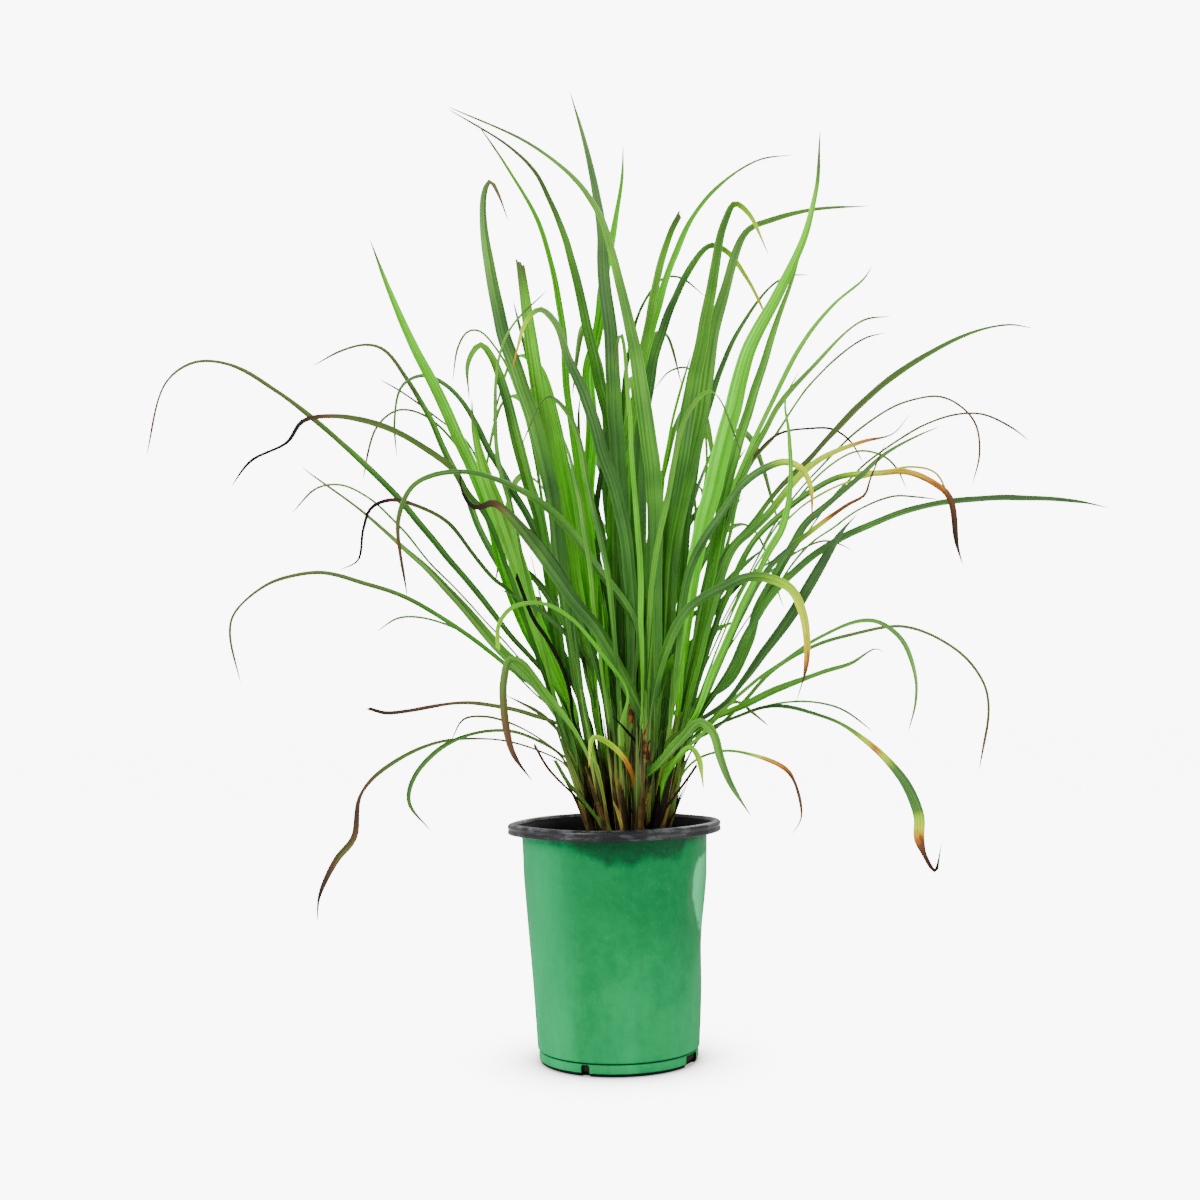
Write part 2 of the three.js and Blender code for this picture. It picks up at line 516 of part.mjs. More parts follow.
function potGeometry() {
  const rim = POT_HEIGHT;
  const profile = [
    [0, 0], [FOOT_RADIUS - 1.4, 0], [FOOT_RADIUS, 1.4], [FOOT_RADIUS, 8.6], [FOOT_RADIUS - 0.7, 9.6],
    [WALL_FOOT_RADIUS, 11], [WALL_TOP_RADIUS - 0.5, 140], [WALL_TOP_RADIUS, 168], [76.4, rim - 2.4],
    [RIM_RADIUS - 1.7, rim - 2.2], [RIM_RADIUS - WALL, SKIRT_FOOT], [RIM_RADIUS, SKIRT_FOOT],
    [RIM_RADIUS, rim - 2.6], [RIM_RADIUS - 1.6, rim - 0.4], [77.6, rim], [75.8, rim - 0.8],
    [WALL_TOP_RADIUS - WALL, 168], [WALL_TOP_RADIUS - 0.5 - WALL, 140], [WALL_FOOT_RADIUS - WALL, 11.5],
    [FOOT_RADIUS - 1.6, FLOOR], [0, FLOOR],
  ];
  return uprightLathe(profile);
}

// A lathe turned about Z from [radius, height] pairs that start and end on the axis.
function uprightLathe(profile) {
  const outline = profile.map(([radius, height]) => new THREE.Vector2(radius, height));
  const geometry = new THREE.LatheGeometry(outline, POT_SIDES);
  geometry.rotateX(Math.PI / 2);
  return geometry;
}

function makePot() {
  let pot = solid(potGeometry());
  DRAINS.forEach(([heading, width]) => {
    const box = new THREE.BoxGeometry(width, DRAIN_DEPTH, 2 * DRAIN_TOP);
    box.translate(0, -FOOT_RADIUS, 0);
    box.rotateZ(radians(heading));
    pot = pot.subtract(solid(box));
  });
  return geometryOf(pot);
}

function makeSoil(stems) {
  const inside = WALL + CLEARANCE;
  const profile = [
    [0, FLOOR + CLEARANCE], [FOOT_RADIUS - 1.6 - CLEARANCE, FLOOR + CLEARANCE],
    [WALL_FOOT_RADIUS - inside, 11.8], [WALL_TOP_RADIUS - 0.5 - inside, 140],
    [WALL_TOP_RADIUS - 0.4 - inside, SOIL_EDGE], [CLUMP_RADIUS + 12, SOIL_MIDDLE], [0, SOIL_MIDDLE],
  ];
  let soil = solid(uprightLathe(profile));
  stems.forEach((stem) => {
    const hole = STEM_RADII[1] + CLEARANCE;
    const plug = tubeRings(stem, [hole, hole], [STEM_FOOT - CLEARANCE, SOIL_MIDDLE + 1]);
    soil = soil.subtract(solid(loft(plug)));
  });
  return geometryOf(soil);
}

// Dry sheaths: short papery tongues that stand off the foot of the outer stems.
function drySheath(stem, order) {
  const length = DRY_SHEATH_LENGTHS[order % DRY_SHEATH_LENGTHS.length];
  const out = new THREE.Vector3(stem.x, stem.y, 0).normalize();
  const facing = new THREE.Vector3(-out.y, out.x, 0);
  const blade = { facing, width: 6.4, turns: [90], taper: 0.3, end: 0.25 };
  const foot = stemPoint(stem, 167).addScaledVector(out, 1.2);
  const side = stemPoint(stem, 178).addScaledVector(out, 4.4);
  const tip = stemPoint(stem, 178 + length).addScaledVector(out, 6 + 0.12 * length);
  return ribs(blade, [foot, side, tip]);
}

// Assembly -------------------------------------------------------------------------------------

const plantGroup = new THREE.Group();

function addPiece(name, geometry, material) {
  const mesh = new THREE.Mesh(geometry, material);
  mesh.name = name;
  plantGroup.add(mesh);
}

const stems = makeStems();
stems.forEach((stem) => {
  stem.parts = stemStretches(stem);
});
const outerStems = stems.filter((stem) => Math.hypot(stem.x, stem.y) > 19);
outerStems.forEach((stem, order) => {
  const sheath = drySheath(stem, order);
  stem.parts.push(...stretches(sheath));
  stem.sheath = bladeRings(sheath);
});

LEAVES.forEach((blade) => plant(blade, stems));
BACK_LEAVES.map(arch).forEach((blade) => plantArch(blade, stems));
fillers().forEach((blade) => plant(blade, stems));

addPiece('pot', makePot(), potGreen);
addPiece('soil', makeSoil(stems), soilBrown);
stems.forEach((stem, order) => {
  const rings = [tubeRings(stem, STEM_RADII, stemHeights(stem)), ...stem.leaves];
  if (stem.sheath) rings.push(stem.sheath);
  const whole = rings.map((list) => solid(loft(list))).reduce((sum, piece) => sum.add(piece));
  const number = String(order + 1).padStart(2, '0');
  addPiece(`leafy_stem_${number}`, geometryOf(outerSkin(whole)), order % 2 ? leafGreen : paleGreen);
});

export default plantGroup;
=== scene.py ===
"""Potted lemongrass: fine leaves, stems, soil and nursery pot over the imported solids.

Plans are in millimetres (+Z up, the pot's underside at z = 0) and meshes in metres. A leaf's
course is drawn in the plane y = 0 and moved along its sight lines to its depth, which is
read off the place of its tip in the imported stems.
"""

import logging
import math
from dataclasses import dataclass
from enum import Enum
from typing import Sequence

import bpy
import numpy as np
from bpy.types import ID, Material, NodeSocket, Object, World
from mathutils import Matrix, Vector
from mathutils.kdtree import KDTree

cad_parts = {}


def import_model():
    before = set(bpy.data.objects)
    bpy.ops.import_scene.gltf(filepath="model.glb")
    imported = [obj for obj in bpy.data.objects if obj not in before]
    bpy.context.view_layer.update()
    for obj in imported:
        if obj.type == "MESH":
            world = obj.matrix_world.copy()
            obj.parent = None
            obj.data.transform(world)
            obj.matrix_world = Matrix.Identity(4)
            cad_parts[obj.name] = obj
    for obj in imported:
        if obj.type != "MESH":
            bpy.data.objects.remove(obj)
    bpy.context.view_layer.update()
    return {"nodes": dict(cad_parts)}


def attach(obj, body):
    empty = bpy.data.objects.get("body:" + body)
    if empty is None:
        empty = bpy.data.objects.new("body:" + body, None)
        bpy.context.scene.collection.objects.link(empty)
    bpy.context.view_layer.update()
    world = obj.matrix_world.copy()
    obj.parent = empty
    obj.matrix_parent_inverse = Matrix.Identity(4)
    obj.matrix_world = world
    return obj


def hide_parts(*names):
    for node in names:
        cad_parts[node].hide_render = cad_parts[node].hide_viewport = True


LOG = logging.getLogger("lemongrass")
MM = 0.001

# The viewpoint (mm): every planned course is drawn as it looks from here.
EYE = np.array([0.0, -1156.0, 270.0])

# Faces that meet at more than these show an edge: at the margins of a blade, and on the pot.
SHARP = math.radians(75)
POT_SHARP = math.radians(38)

Colour = tuple[float, float, float]
Array = np.ndarray
Number = float | Array


# --- Small maths ---


def lerp(low: Number, high: Number, share: Number) -> Number:
    """low + (high - low) * share, on numbers or arrays."""
    return low + (high - low) * share


def smooth(low: float, high: float, value: Number) -> Array:
    """Smoothstep: 0 below low, 1 above high, 3t^2 - 2t^3 between."""
    share = np.clip((np.asarray(value, float) - low) / (high - low), 0.0, 1.0)
    return share * share * (3.0 - 2.0 * share)


def unit(vectors: Array) -> Array:
    """Vectors scaled to length 1 along their last axis."""
    return vectors / np.maximum(np.linalg.norm(vectors, axis=-1, keepdims=True), 1e-12)


def level_way(turn: float) -> Array:
    """The level direction at a turn from +X (radians)."""
    return np.array([math.cos(turn), math.sin(turn), 0.0])


def around(reach: Number, turn: Array, height: Number) -> Array:
    """Points at a reach from the axis, a turn from +X and a height (mm)."""
    x, y, z = np.broadcast_arrays(reach * np.cos(turn), reach * np.sin(turn), height)
    return np.stack([x, y, z], axis=-1)


def run_along(points: Array) -> Array:
    """Length of a line from its start to each of its points."""
    return np.concatenate([[0.0], np.cumsum(np.linalg.norm(np.diff(points, axis=0), axis=1))])


class Mulberry:
    """Mulberry32: the same numbers from 0 to 1 for the same seed, in any language."""

    MASK = 0xFFFFFFFF

    def __init__(self, seed: int) -> None:
        """Starts the draws at a seed."""
        self.state = seed & self.MASK

    def __call__(self) -> float:
        """The next number."""
        mask = self.MASK
        self.state = (self.state + 0x6D2B79F5) & mask
        state = self.state
        mixed = ((state ^ (state >> 15)) * (1 | state)) & mask
        mixed = ((mixed + (((mixed ^ (mixed >> 7)) * (61 | mixed)) & mask)) & mask) ^ mixed
        return ((mixed ^ (mixed >> 14)) & mask) / 4294967296.0


def centripetal(points: Array, per_span: int) -> Array:
    """Centripetal Catmull-Rom curve.

    A span from b to c is a cubic with end slopes ((b-a)/t0 - (c-a)/(t0+t1) + (c-b)/t1) * t1 and
    the like at c, where t is the square root of the distance between neighbours.

    Args:
        points: (n, 3) points on it.
        per_span: samples in each span.

    Returns:
        ((n - 1) * per_span + 1, 3) samples.
    """
    padded = np.vstack([2 * points[0] - points[1], points, 2 * points[-1] - points[-2]])
    steps = np.sqrt(np.linalg.norm(np.diff(padded, axis=0), axis=1))
    samples = []
    weights = np.arange(per_span)[:, None] / per_span
    for span in range(len(points) - 1):
        a, b, c, d = padded[span : span + 4]
        t0, t1, t2 = steps[span : span + 3]
        slope_b = ((b - a) / t0 - (c - a) / (t0 + t1) + (c - b) / t1) * t1
        slope_c = ((c - b) / t1 - (d - b) / (t1 + t2) + (d - c) / t2) * t1
        square, cube = -3 * b + 3 * c - 2 * slope_b - slope_c, 2 * b - 2 * c + slope_b + slope_c
        samples.append(b + weights * (slope_b + weights * (square + weights * cube)))
    samples.append(points[-1][None])
    return np.vstack(samples)


def spine(points: Sequence[Array], per_span: int) -> tuple[Array, Array]:
    """A smooth line through points.

    Args:
        points: three or more points (mm).
        per_span: stations in each span.

    Returns:
        Its stations and how far along each lies, as a share.
    """
    line = centripetal(np.array(points), per_span)
    return line, np.linspace(0, 1, len(line))


def lattice_noise(points: Array, size: float, seed: int) -> Array:
    """Smooth value noise from -1 to 1.

    Args:
        points: (n, 3) places.
        size: of a lattice cell, in the points' unit.
        seed: fixes the values on the lattice.

    Returns:
        (n,) values.
    """
    scaled = points / size
    cell = np.floor(scaled).astype(np.int64)
    part = scaled - cell
    part = part * part * (3 - 2 * part)
    total = np.zeros(len(points))
    for corner in range(8):
        offset = np.array([corner & 1, (corner >> 1) & 1, corner >> 2])
        key = (cell + offset) @ np.array([73856093, 19349663, 83492791]) + seed * 2654435761
        key = (key ^ (key >> 13)) * 1274126177 & 0xFFFFFFFF
        value = ((key ^ (key >> 16)) & 0xFFFF) / 32767.5 - 1.0
        weight = np.prod(np.where(offset, part, 1 - part), axis=1)
        total += weight * value
    return total


def noise_along(run: Array, size: float, seed: int) -> Array:
    """The same noise along a line, at lengths from its start."""
    return lattice_noise(np.stack([run, 0 * run, 0 * run], axis=1), size, seed)


# --- Clump plan ---


@dataclass(frozen=True)
class Clump:
    """Where the stems stand and how they fan out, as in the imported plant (mm, degrees).

    A stem ends lower for each mm from the middle, and uneven is the step between three in a row.
    It stands wider by the share fan for each mm above fan_start. radii are at its foot, at
    fan_start, half way up and at its top; beyond outer it has a tongue.
    """

    middle: float = 12.0
    radius: float = 27.3
    count: int = 26
    turn: float = 137.508
    fan: float = 0.0105
    fan_start: float = 162.0
    foot: float = 139.0
    top: float = 292.0
    lower: float = 0.9
    uneven: float = 6.0
    radii: tuple[float, float, float, float] = (3.7, 3.8, 3.4, 2.3)
    outer: float = 19.0

    def stems(self) -> list["Stem"]:
        """Stems on a sunflower spiral: radius R*sqrt((k + 1/2)/n), turn k times the golden turn."""
        made = []
        for order in range(self.count):
            radius = self.radius * math.sqrt((order + 0.5) / self.count)
            turn = math.radians(order * self.turn)
            top = self.top - self.lower * radius + self.uneven * (order % 3)
            x, y, _ = radius * level_way(turn)
            made.append(Stem(self, order + 1, x, y, top))
        return made


@dataclass(frozen=True)
class Stem:
    """One stem of the clump: its number from 1, its foot's place from the clump's middle and
    the height of its top (mm)."""

    clump: Clump
    number: int
    x: float
    y: float
    top: float

    def at(self, height: float) -> Array:
        """The stem's axis at a height (mm)."""
        clump = self.clump
        spread = 1 + clump.fan * max(height - clump.fan_start, 0.0)
        return np.array([clump.middle + self.x * spread, self.y * spread, height])

    def radius(self, height: Number) -> Number:
        """The planned radius at a height (mm)."""
        clump = self.clump
        heights = [clump.foot, clump.fan_start, lerp(clump.fan_start, self.top, 0.5), self.top]
        return np.interp(height, heights, clump.radii)

    @property
    def node(self) -> str:
        """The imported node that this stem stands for."""
        return f"leafy_stem_{self.number:02d}"

    @property
    def outward(self) -> Array:
        """Level direction from the clump's middle to the stem."""
        return unit(np.array([self.x, self.y, 0.0]))

    @property
    def is_outer(self) -> bool:
        """Whether it stands in the clump's outer rows."""
        return math.hypot(self.x, self.y) > self.clump.outer


# --- Leaf plan ---

# Where a leaf leaves its stem (mm): below its course's foot, above the lowest height and below
# the stem's top; and how far down inside the stem it starts.
LEAVE_BELOW, LOWEST_LEAVE, TOP_MARGIN, START_BELOW = 26, 172, 6, 24

# Share of a planned turn that a face makes, and where dryness starts if the plan doesn't say.
TURNED = 0.78
DRY_FROM = 0.72


@dataclass(frozen=True)
class Cut:
    """How a blade narrows and ends: it tapers from a share of its length to a share of its
    width, and slim is how much narrower its inner half is."""

    taper: float = 0.6
    end: float = 0.13
    slim: float = 0.0

    @property
    def torn(self) -> bool:
        """Whether it ends broad and ragged."""
        return self.end >= 0.5


POINTED = Cut()
BLUNT = Cut(0.75, 0.7)
LATE = Cut(0.72)
SLENDER = Cut(0.4, 0.1)


@dataclass(frozen=True)
class Blade:
    """How a blade looks: tone 0 is the darkest green and 1 the brightest yellow-green.

    turns are its face's, away from what it faces (degrees). dryness, 0 fresh to 1 dead, runs from
    the share dry_from of its length to its tip, through yellow and orange on a golden one.
    """

    width: float
    turns: tuple[float, ...]
    tone: float
    dry_from: float
    dryness: tuple[float, ...]
    golden: bool = False
    cut: Cut = POINTED


def at_depth(x: float, z: float, y: float) -> Array:
    """The point at depth y on the sight line through (x, 0, z)."""
    sight = np.array([x, 0.0, z]) - EYE
    return EYE + sight * ((y - EYE[1]) / -EYE[1])


@dataclass(frozen=True)
class Leaf:
    """A leaf that follows a drawn course: x and z (mm) as seen from EYE in the plane y = 0.

    depth is the preferred depth of its tip (y, mm).
    """

    depth: float
    course: Array
    blade: Blade

    def points(self, stem: Stem, depth: float) -> Array:
        """Up inside the stem, then along the course, deeper with share^1.5 of the seen length.

        Args:
            stem: the stem that bears it.
            depth: the depth of its tip (mm).

        Returns:
            (n, 3) points (mm).
        """
        foot_x, foot_z = self.course[0]
        leave = min(max(foot_z - LEAVE_BELOW, LOWEST_LEAVE), stem.top - TOP_MARGIN)
        start = stem.at(leave)
        runs = [math.hypot(foot_x - start[0], foot_z - start[2])]
        for before, after in zip(self.course, self.course[1:]):
            runs.append(runs[-1] + math.hypot(*(after - before)))
        outer = [
            at_depth(x, z, start[1] + (depth - start[1]) * (run / runs[-1]) ** 1.5)
            for (x, z), run in zip(self.course, runs)
        ]
        return np.array([stem.at(leave - START_BELOW), start, *outer])


def numbers(text: str) -> tuple[float, ...]:
    """The numbers in a text, separated by blanks."""
    return tuple(float(word) for word in text.split())


def leaf(
    depth: float, width: float, tone: float, turns: str, dry: str, course: str, cut: Cut = POINTED
) -> Leaf:
    """Reads a leaf from plain words.

    Args:
        depth: of its tip (mm).
        width: widest width (mm).
        tone: share from dark to bright green.
        turns: degrees, separated by blanks.
        dry: dryness from DRY_FROM on, or "share: dryness"; first "gold" for a golden leaf.
        course: x and z of its points (mm), foot first.
        cut: how it ends.

    Returns:
        The leaf.
    """
    golden = dry.startswith("gold")
    start, _, values = dry.removeprefix("gold").rpartition(":")
    blade = Blade(
        width, numbers(turns), tone, float(start or DRY_FROM), numbers(values), golden, cut
    )
    return Leaf(depth, np.reshape(numbers(course), (-1, 2)), blade)


LEAVES = tuple(leaf(*row) for row in (
    # Low front leaves that bend over and hang.
    (-150, 6.4, 0.25, "10 20 65 0 0 40", "gold .5: 0 .06 .16 .28 .36 .4 .56 .92 1",
     "31 270 59 340 90 360 113 368 140 359 150 343 154 318 152 296 143 268", Cut(0.6, 0.16)),
    (-120, 6.5, 0.36, "10 0 0 20", "0 0 0 .1",
     "18 206 36 223 52 241 67 255 77 247 83 227 90 208 106 182"),
    (-140, 6.2, 0.2, "10 0 0 50 30 20", "gold .76: 0 .2 .34 .37 .5 .75",
     "61 374 88 417 104 438 125 453 142 458 154 452 160 438 160 412", LATE),
    (-130, 9, 0.14, "10 0 0 20 70", ".5: 0 .04 .06 .08 .14 .8 .96 1",
     "28 245 13 286 -7 324 -31 356 -57 395 -76 419 -90 431 -105 428 -115 441 -116 457"),
    (-120, 6, 0.2, "10 10 40 80 50 40", ".75: 0 .1 .5 .7 .8",
     "20 330 -9 378 -26 402 -48 425 -78 445 -110 456 -135 455 -155 445 -166 418 -159 358"),
    (-150, 3.8, 0.6, "20 30 60 20", "gold .6: 0 .05 .1 .2",
     "12 280 -5 305 -30 336 -53 350 -76 348 -87 335 -88 315", BLUNT),
    (-110, 5.0, 0.4, "10 20 60 0 0 40", ".4: 0 .06 .14 .24 .42 .54 .56 .8 1",
     "-30 250 -52 282 -70 305 -79 307 -84 290 -85 272 -83 251 -78 233 -63 212", LATE),
    (-95, 4, 0.1, "20 10 40 20", "gold 0: .7 .68 .66 .62 .5 .2 .14 .2 .5",
     "20 190 18 202 14 219 5 234 -8 244 -15 245 -19 222", LATE),
    (-90, 4, 0.8, "20 40 10", "gold .3: 0 0 .1 .2 .5",
     "40 212 52 230 60 236 66 229 70 204", LATE),
    (-80, 3.6, 0.5, "60 70 10 40", "gold .4: 0 .05 .5 .56 .8 .7 .8 .9",
     "52 212 66 227 87 233 108 229 133 218 140 208 145 181 137 167", LATE),
    (-110, 7.6, 0.1, "85 100 90 55 5 60", "gold .4: .02 .05 .1 .56 .05 .02 .05 .5 .94 1 1",
     "70 245 99 259 127 266 159 259 188 245 210 226 "
     "227 204 236 180 236 160 247 137 253 159", Cut(0.8, 0.3, 0.55)),
    (-70, 4.6, 0.3, "40 60 40 0 80 0 60", "0: .3 .42 .52 .5 .42 .22 .14 .5 .72 .34 .75 1",
     "-35 222 -56 235 -87 244 -118 246 -147 241 -174 227 "
     "-197 204 -202 172 -216 155 -229 127 -231 108", Cut(0.8, 0.3, 0.45)),
    (-60, 3.8, 0.16, "60 70 0 20 60", "0: .3 .3 .2 .03 .03 .06 .5",
     "-40 230 -56 242 -79 251 -109 250 -135 239 -153 220 -159 198 -142 175", Cut(0.8, 0.2, 0.4)),
    # Tall leaves of the middle.
    (-60, 9.5, 0.1, "0 0 0 50 60", "gold .84: 0 .1 .2 .35 .5 .55",
     "18 345 17 382 10 431 -2 470 -14 514 -27 545 -37 574 -50 586 -62 577 -74 537"),
    (-40, 11, 0.2, "10 0 0 0 60", ".86: 0 .1 .5 .8",
     "-42 404 -50 457 -67 524 -82 577 -93 640 -94 677 -89 689 -83 679 -75 657"),
    (60, 11.5, 0.25, "20 10 30 75", ".7: 0 .15 .3 .5",
     "8 461 -3 521 -14 575 -31 644 -52 694 -73 717 -122 750", SLENDER),
    (-90, 11.5, 0.3, "10 0 40 80", ".8: 0 .1 .2 .3",
     "35 375 36 429 31 495 19 575 5 644 -11 677 -33 702 -63 724 -122 752", SLENDER),
    (-50, 7.5, 0.75, "10 20 60 70", ".9: 0 .1 .5",
     "-15 388 -24 448 -30 517 -34 570 -44 625 -55 662 -75 700 -99 738"),
    (20, 10.5, 0.1, "0 10 20 60", "0 0 0 0 .1",
     "12 400 8 480 5 555 1 600 -1 656 -8 704 -24 763"),
    (90, 10, 0.8, "0 0 40 60", "0 0 0 0 .1",
     "-16 403 -13 482 -14 535 -6 562 0 607 9 649 16 689 18 717"),
    (110, 7.5, 0.45, "0 20 30", "0 0 0 .2",
     "5 440 14 475 25 520 36 575 44 614 54 645 62 660", BLUNT),
    (150, 7.5, 0.7, "0 0 50 80", "0 0 .1 .4",
     "20 480 36 561 45 590 55 623 73 659 98 686 127 703 153 706"),
    (40, 10, 0.12, "0 10 60 70 60", "gold .82: 0 .14 .26 .36 .5 .62",
     "24 400 25 450 30 505 44 558 65 609 86 634 99 629 115 606 133 565"),
    (130, 4.5, 0.15, "20 40 60", "0 0 0 .3",
     "10 460 18 545 30 585 48 608 62 608 81 592"),
    (-30, 10.5, 0.3, "0 0 40 50", "gold .86: 0 .12 .22 .3 .4",
     "42 376 56 456 68 516 79 573 89 616 97 651 106 668 117 660 132 625"),
    (30, 12.5, 0.34, "0 0 10 50 75 80", ".9: 0 .05 .2",
     "49 375 61 434 75 492 88 567 100 603 116 643 135 652 167 660 213 663"),
    (100, 6, 0.2, "20 30 60", ".85: 0 .1 .6",
     "72 470 80 505 94 541 116 579 136 602 150 608 164 608"),
    (-70, 15, 1.0, "50 25 0 0 30 50", ".84: 0 0 .2 .4",
     "67 382 82 435 101 505 117 553 137 590 161 640 172 680 176 726", SLENDER),
    (10, 8, 0.35, "20 10 20", "0 0 0 .1",
     "84 388 93 434 108 487 126 540 138 575 150 605 158 628"),
    (60, 4.5, 0.6, "0 40 20", "0 0 0 .1",
     "95 425 112 467 134 512 160 557 185 586 207 604 214 614", LATE),
    (-20, 12, 0.6, "0 0 10", "0 0 0 .2",
     "-33 400 -41 442 -50 495 -55 535 -60 575 -66 623", Cut(0.6, 0.5)),
    (70, 4, 0.15, "20 30", "0 0 .1",
     "-50 480 -56 515 -62 546 -69 579 -72 592"),
    (-110, 4.5, 0.45, "30 20 60 75", ".85: 0 .1 .4",
     "-65 370 -78 436 -86 470 -87 500 -85 536 -79 559 -70 575 -45 600"),
    (-20, 9, 0.35, "0 0 20 40", "0 0 0 0 .1 .5",
     "-55 415 -64 448 -72 483 -80 518 -89 546 -98 557 -108 543 -108 513"),
    (-70, 12, 0.74, "40 10 0 30 50", ".85: 0 .1 .4",
     "-31 262 -44 294 -59 333 -70 372 -85 420 -97 457 -105 497 -106 515"),
    (-90, 4, 0.4, "10 30", "0 0 .1",
     "-20 420 -25 447 -30 470 -37 489"),
    (70, 4.5, 0.1, "10 20", "0 0 0",
     "-10 398 -9 431 -4 464 2 500 8 540"),
    (100, 2.6, 0.1, "20 40", "0 0 .1",
     "-20 440 -22 475 -22 500 -20 515"),
    (90, 3.2, 0.8, "20 40", "0 0 .1",
     "40 402 43 442 50 485 58 515 68 545"),
    (60, 2.4, 0.4, "30 60", ".8: 0 .1 .5",
     "66 490 72 520 66 535 51 533 38 518"),
    (140, 2.8, 0.6, "30 50", "0 0 .1",
     "70 400 75 434 78 460 77 493 74 515"),
    (90, 3.6, 0.3, "20 30", "0 0 .1",
     "65 387 69 415 67 443 64 470"),
    (160, 4.6, 0.1, "10 30", "0 0 .1",
     "50 380 63 409 79 433 96 451 110 470"),
    # Long leaves to the right.
    (110, 6, 0.4, "20 40 60", "0 0 0 .3",
     "105 444 120 474 140 507 166 536 194 563 208 571 227 573"),
    (170, 2.6, 0.4, "40 60", ".7: 0 .1 .6",
     "110 450 132 479 153 510 179 537 206 556 222 560"),
    (-130, 7, 0.75, "30 20 50 75 80", "0 0 0 0 0 .1 .3",
     "66 261 80 293 94 323 111 359 125 385 137 405 "
     "143 430 145 452 144 482 142 508 153 530"),
    (90, 3.6, 0.25, "60 60", ".4: 0 .3 .5 .6 .7",
     "100 440 118 466 136 481 160 485 178 484 192 474 202 456"),
    (40, 7.5, 0.3, "20 20 50 70 50 75", ".45: 0 .2 .25 .2 .15 .1 .1 .3",
     "89 380 112 406 136 435 164 463 199 500 240 533 290 558 321 564 340 561"),
    (-80, 6, 0.4, "20 10 0 50", "gold .62: 0 .1 .2 .26 .36 .55 .92 1",
     "96 388 112 404 127 419 148 443 169 460 203 473 226 479 241 496"),
    (140, 2.8, 0.3, "60 60", ".5: 0 .2 .35 .4 .5 .6",
     "128 405 150 435 170 455 200 483 231 502 263 508 280 500 291 485 293 461 287 438"),
    (-50, 6.5, 0.2, "10 30 60 60", "0 0 0 0 .1 .2",
     "92 287 107 318 116 345 143 389 156 409 174 424 199 444 220 463 246 477 263 484"),
    (90, 2.6, 0.3, "60 60", "0 0 .3",
     "150 430 175 455 198 466 218 461 228 451 235 435"),
    (-40, 4.5, 0.3, "60 50 30 20", "gold .6: 0 .06 .3 .46 .48 .6 .88 .98 .95",
     "110 390 140 420 165 437 183 445 212 447 234 448 256 439 268 428 273 390 277 374",
     Cut(0.9, 0.4)),
    (60, 2.6, 0.8, "60 60", "gold .5: 0 .1 .3 .4 .5",
     "120 385 150 420 180 437 213 447 240 452 258 447 270 420"),
    (-90, 4.4, 0.3, "40 30 60", "gold .62: 0 .1 .66 .7 .76 .9",
     "120 370 145 393 164 407 187 423 202 431 207 444 220 473", LATE),
    (110, 2.6, 0.3, "60 60", ".7: 0 .2 .5",
     "150 385 180 408 201 421 225 429 244 428 260 426"),
    (-30, 5.2, 0.2, "40 30 45 50", ".93: 0 .1 .2",
     "95 300 108 325 131 357 149 374 170 390 199 404 "
     "238 418 281 425 326 426 370 422 392 417", Cut(0.8, 0.3)),
    (-110, 7, 0.1, "80 30 0 40", ".93: 0 .1 .4",
     "90 270 103 285 120 308 138 331 156 360 168 379 183 402 196 416", LATE),
    (60, 2.6, 0.3, "60 60", ".75: 0 .2 .6",
     "120 365 135 378 150 388 169 395 184 391 191 387"),
    (160, 2.6, 0.3, "60 60", ".5: 0 .2 .3 .4 .6",
     "165 415 190 443 204 456 243 482 270 492 296 493 319 482 333 471"),
    (60, 3, 0.3, "60 50 60 40", ".4: 0 .15 .2 .25 .3 .4 .6",
     "80 250 101 269 126 295 161 314 196 323 230 326 266 310 288 285 293 265 284 215", LATE),
    (-60, 5, 0.45, "20 20 70 80 30 60", "0 0 0 .1 .1 .3",
     "75 250 101 276 129 298 165 320 193 331 209 330 227 316 237 287 236 267 230 245"),
    (-20, 5, 0.4, "20 10 60 40", "0 0 0 .3",
     "80 258 99 266 128 280 165 293 187 299 207 310 213 307"),
    (90, 2.6, 0.3, "60 60", ".8: 0 .1 .5",
     "75 250 99 260 120 267 150 270 179 263 202 246"),
    (-40, 3, 0.5, "60 30", ".6: 0 .1 .3 .6",
     "65 245 77 256 88 266 98 270 109 262 122 251"),
    # Long leaves to the left.
    (-30, 9, 0.7, "20 10 0 10 30", "0 0 0 0 0 .1 .4",
     "-39 273 -55 306 -72 343 -85 385 -96 430 "
     "-112 472 -132 518 -151 555 -170 600 -186 645"),
    (60, 4.8, 0.2, "20 10 50 60 75", ".45: 0 .12 .25 .3 .4 .7",
     "-43 283 -81 329 -101 356 -135 399 -170 440 -209 479 "
     "-261 523 -298 545 -326 548 -349 532 -364 474"),
    (-80, 5, 0.15, "20 20 40 60", ".4: 0 .15 .22 .2 .3 .9 1 1",
     "-95 415 -111 438 -122 457 -148 478 -176 493 "
     "-213 502 -240 499 -253 482 -281 468 -297 448"),
    (110, 5, 0.25, "20 20 60", ".6: 0 .15 .3 .5",
     "-80 370 -101 411 -111 438 -127 470 -142 503 "
     "-160 534 -176 555 -189 559 -208 555 -232 543"),
    (140, 2.6, 0.3, "60 60", ".6: 0 .1 .5 .7",
     "-95 430 -102 461 -111 480 -131 497 -161 520 -179 531"),
    (90, 5.5, 0.08, "0 0 50 60", ".85: 0 .1 .4",
     "-45 385 -59 411 -77 444 -91 470 -107 499 "
     "-125 523 -144 533 -160 526 -167 500 -166 469"),
    (150, 3.2, 0.2, "60 50", ".6: 0 .1 .5",
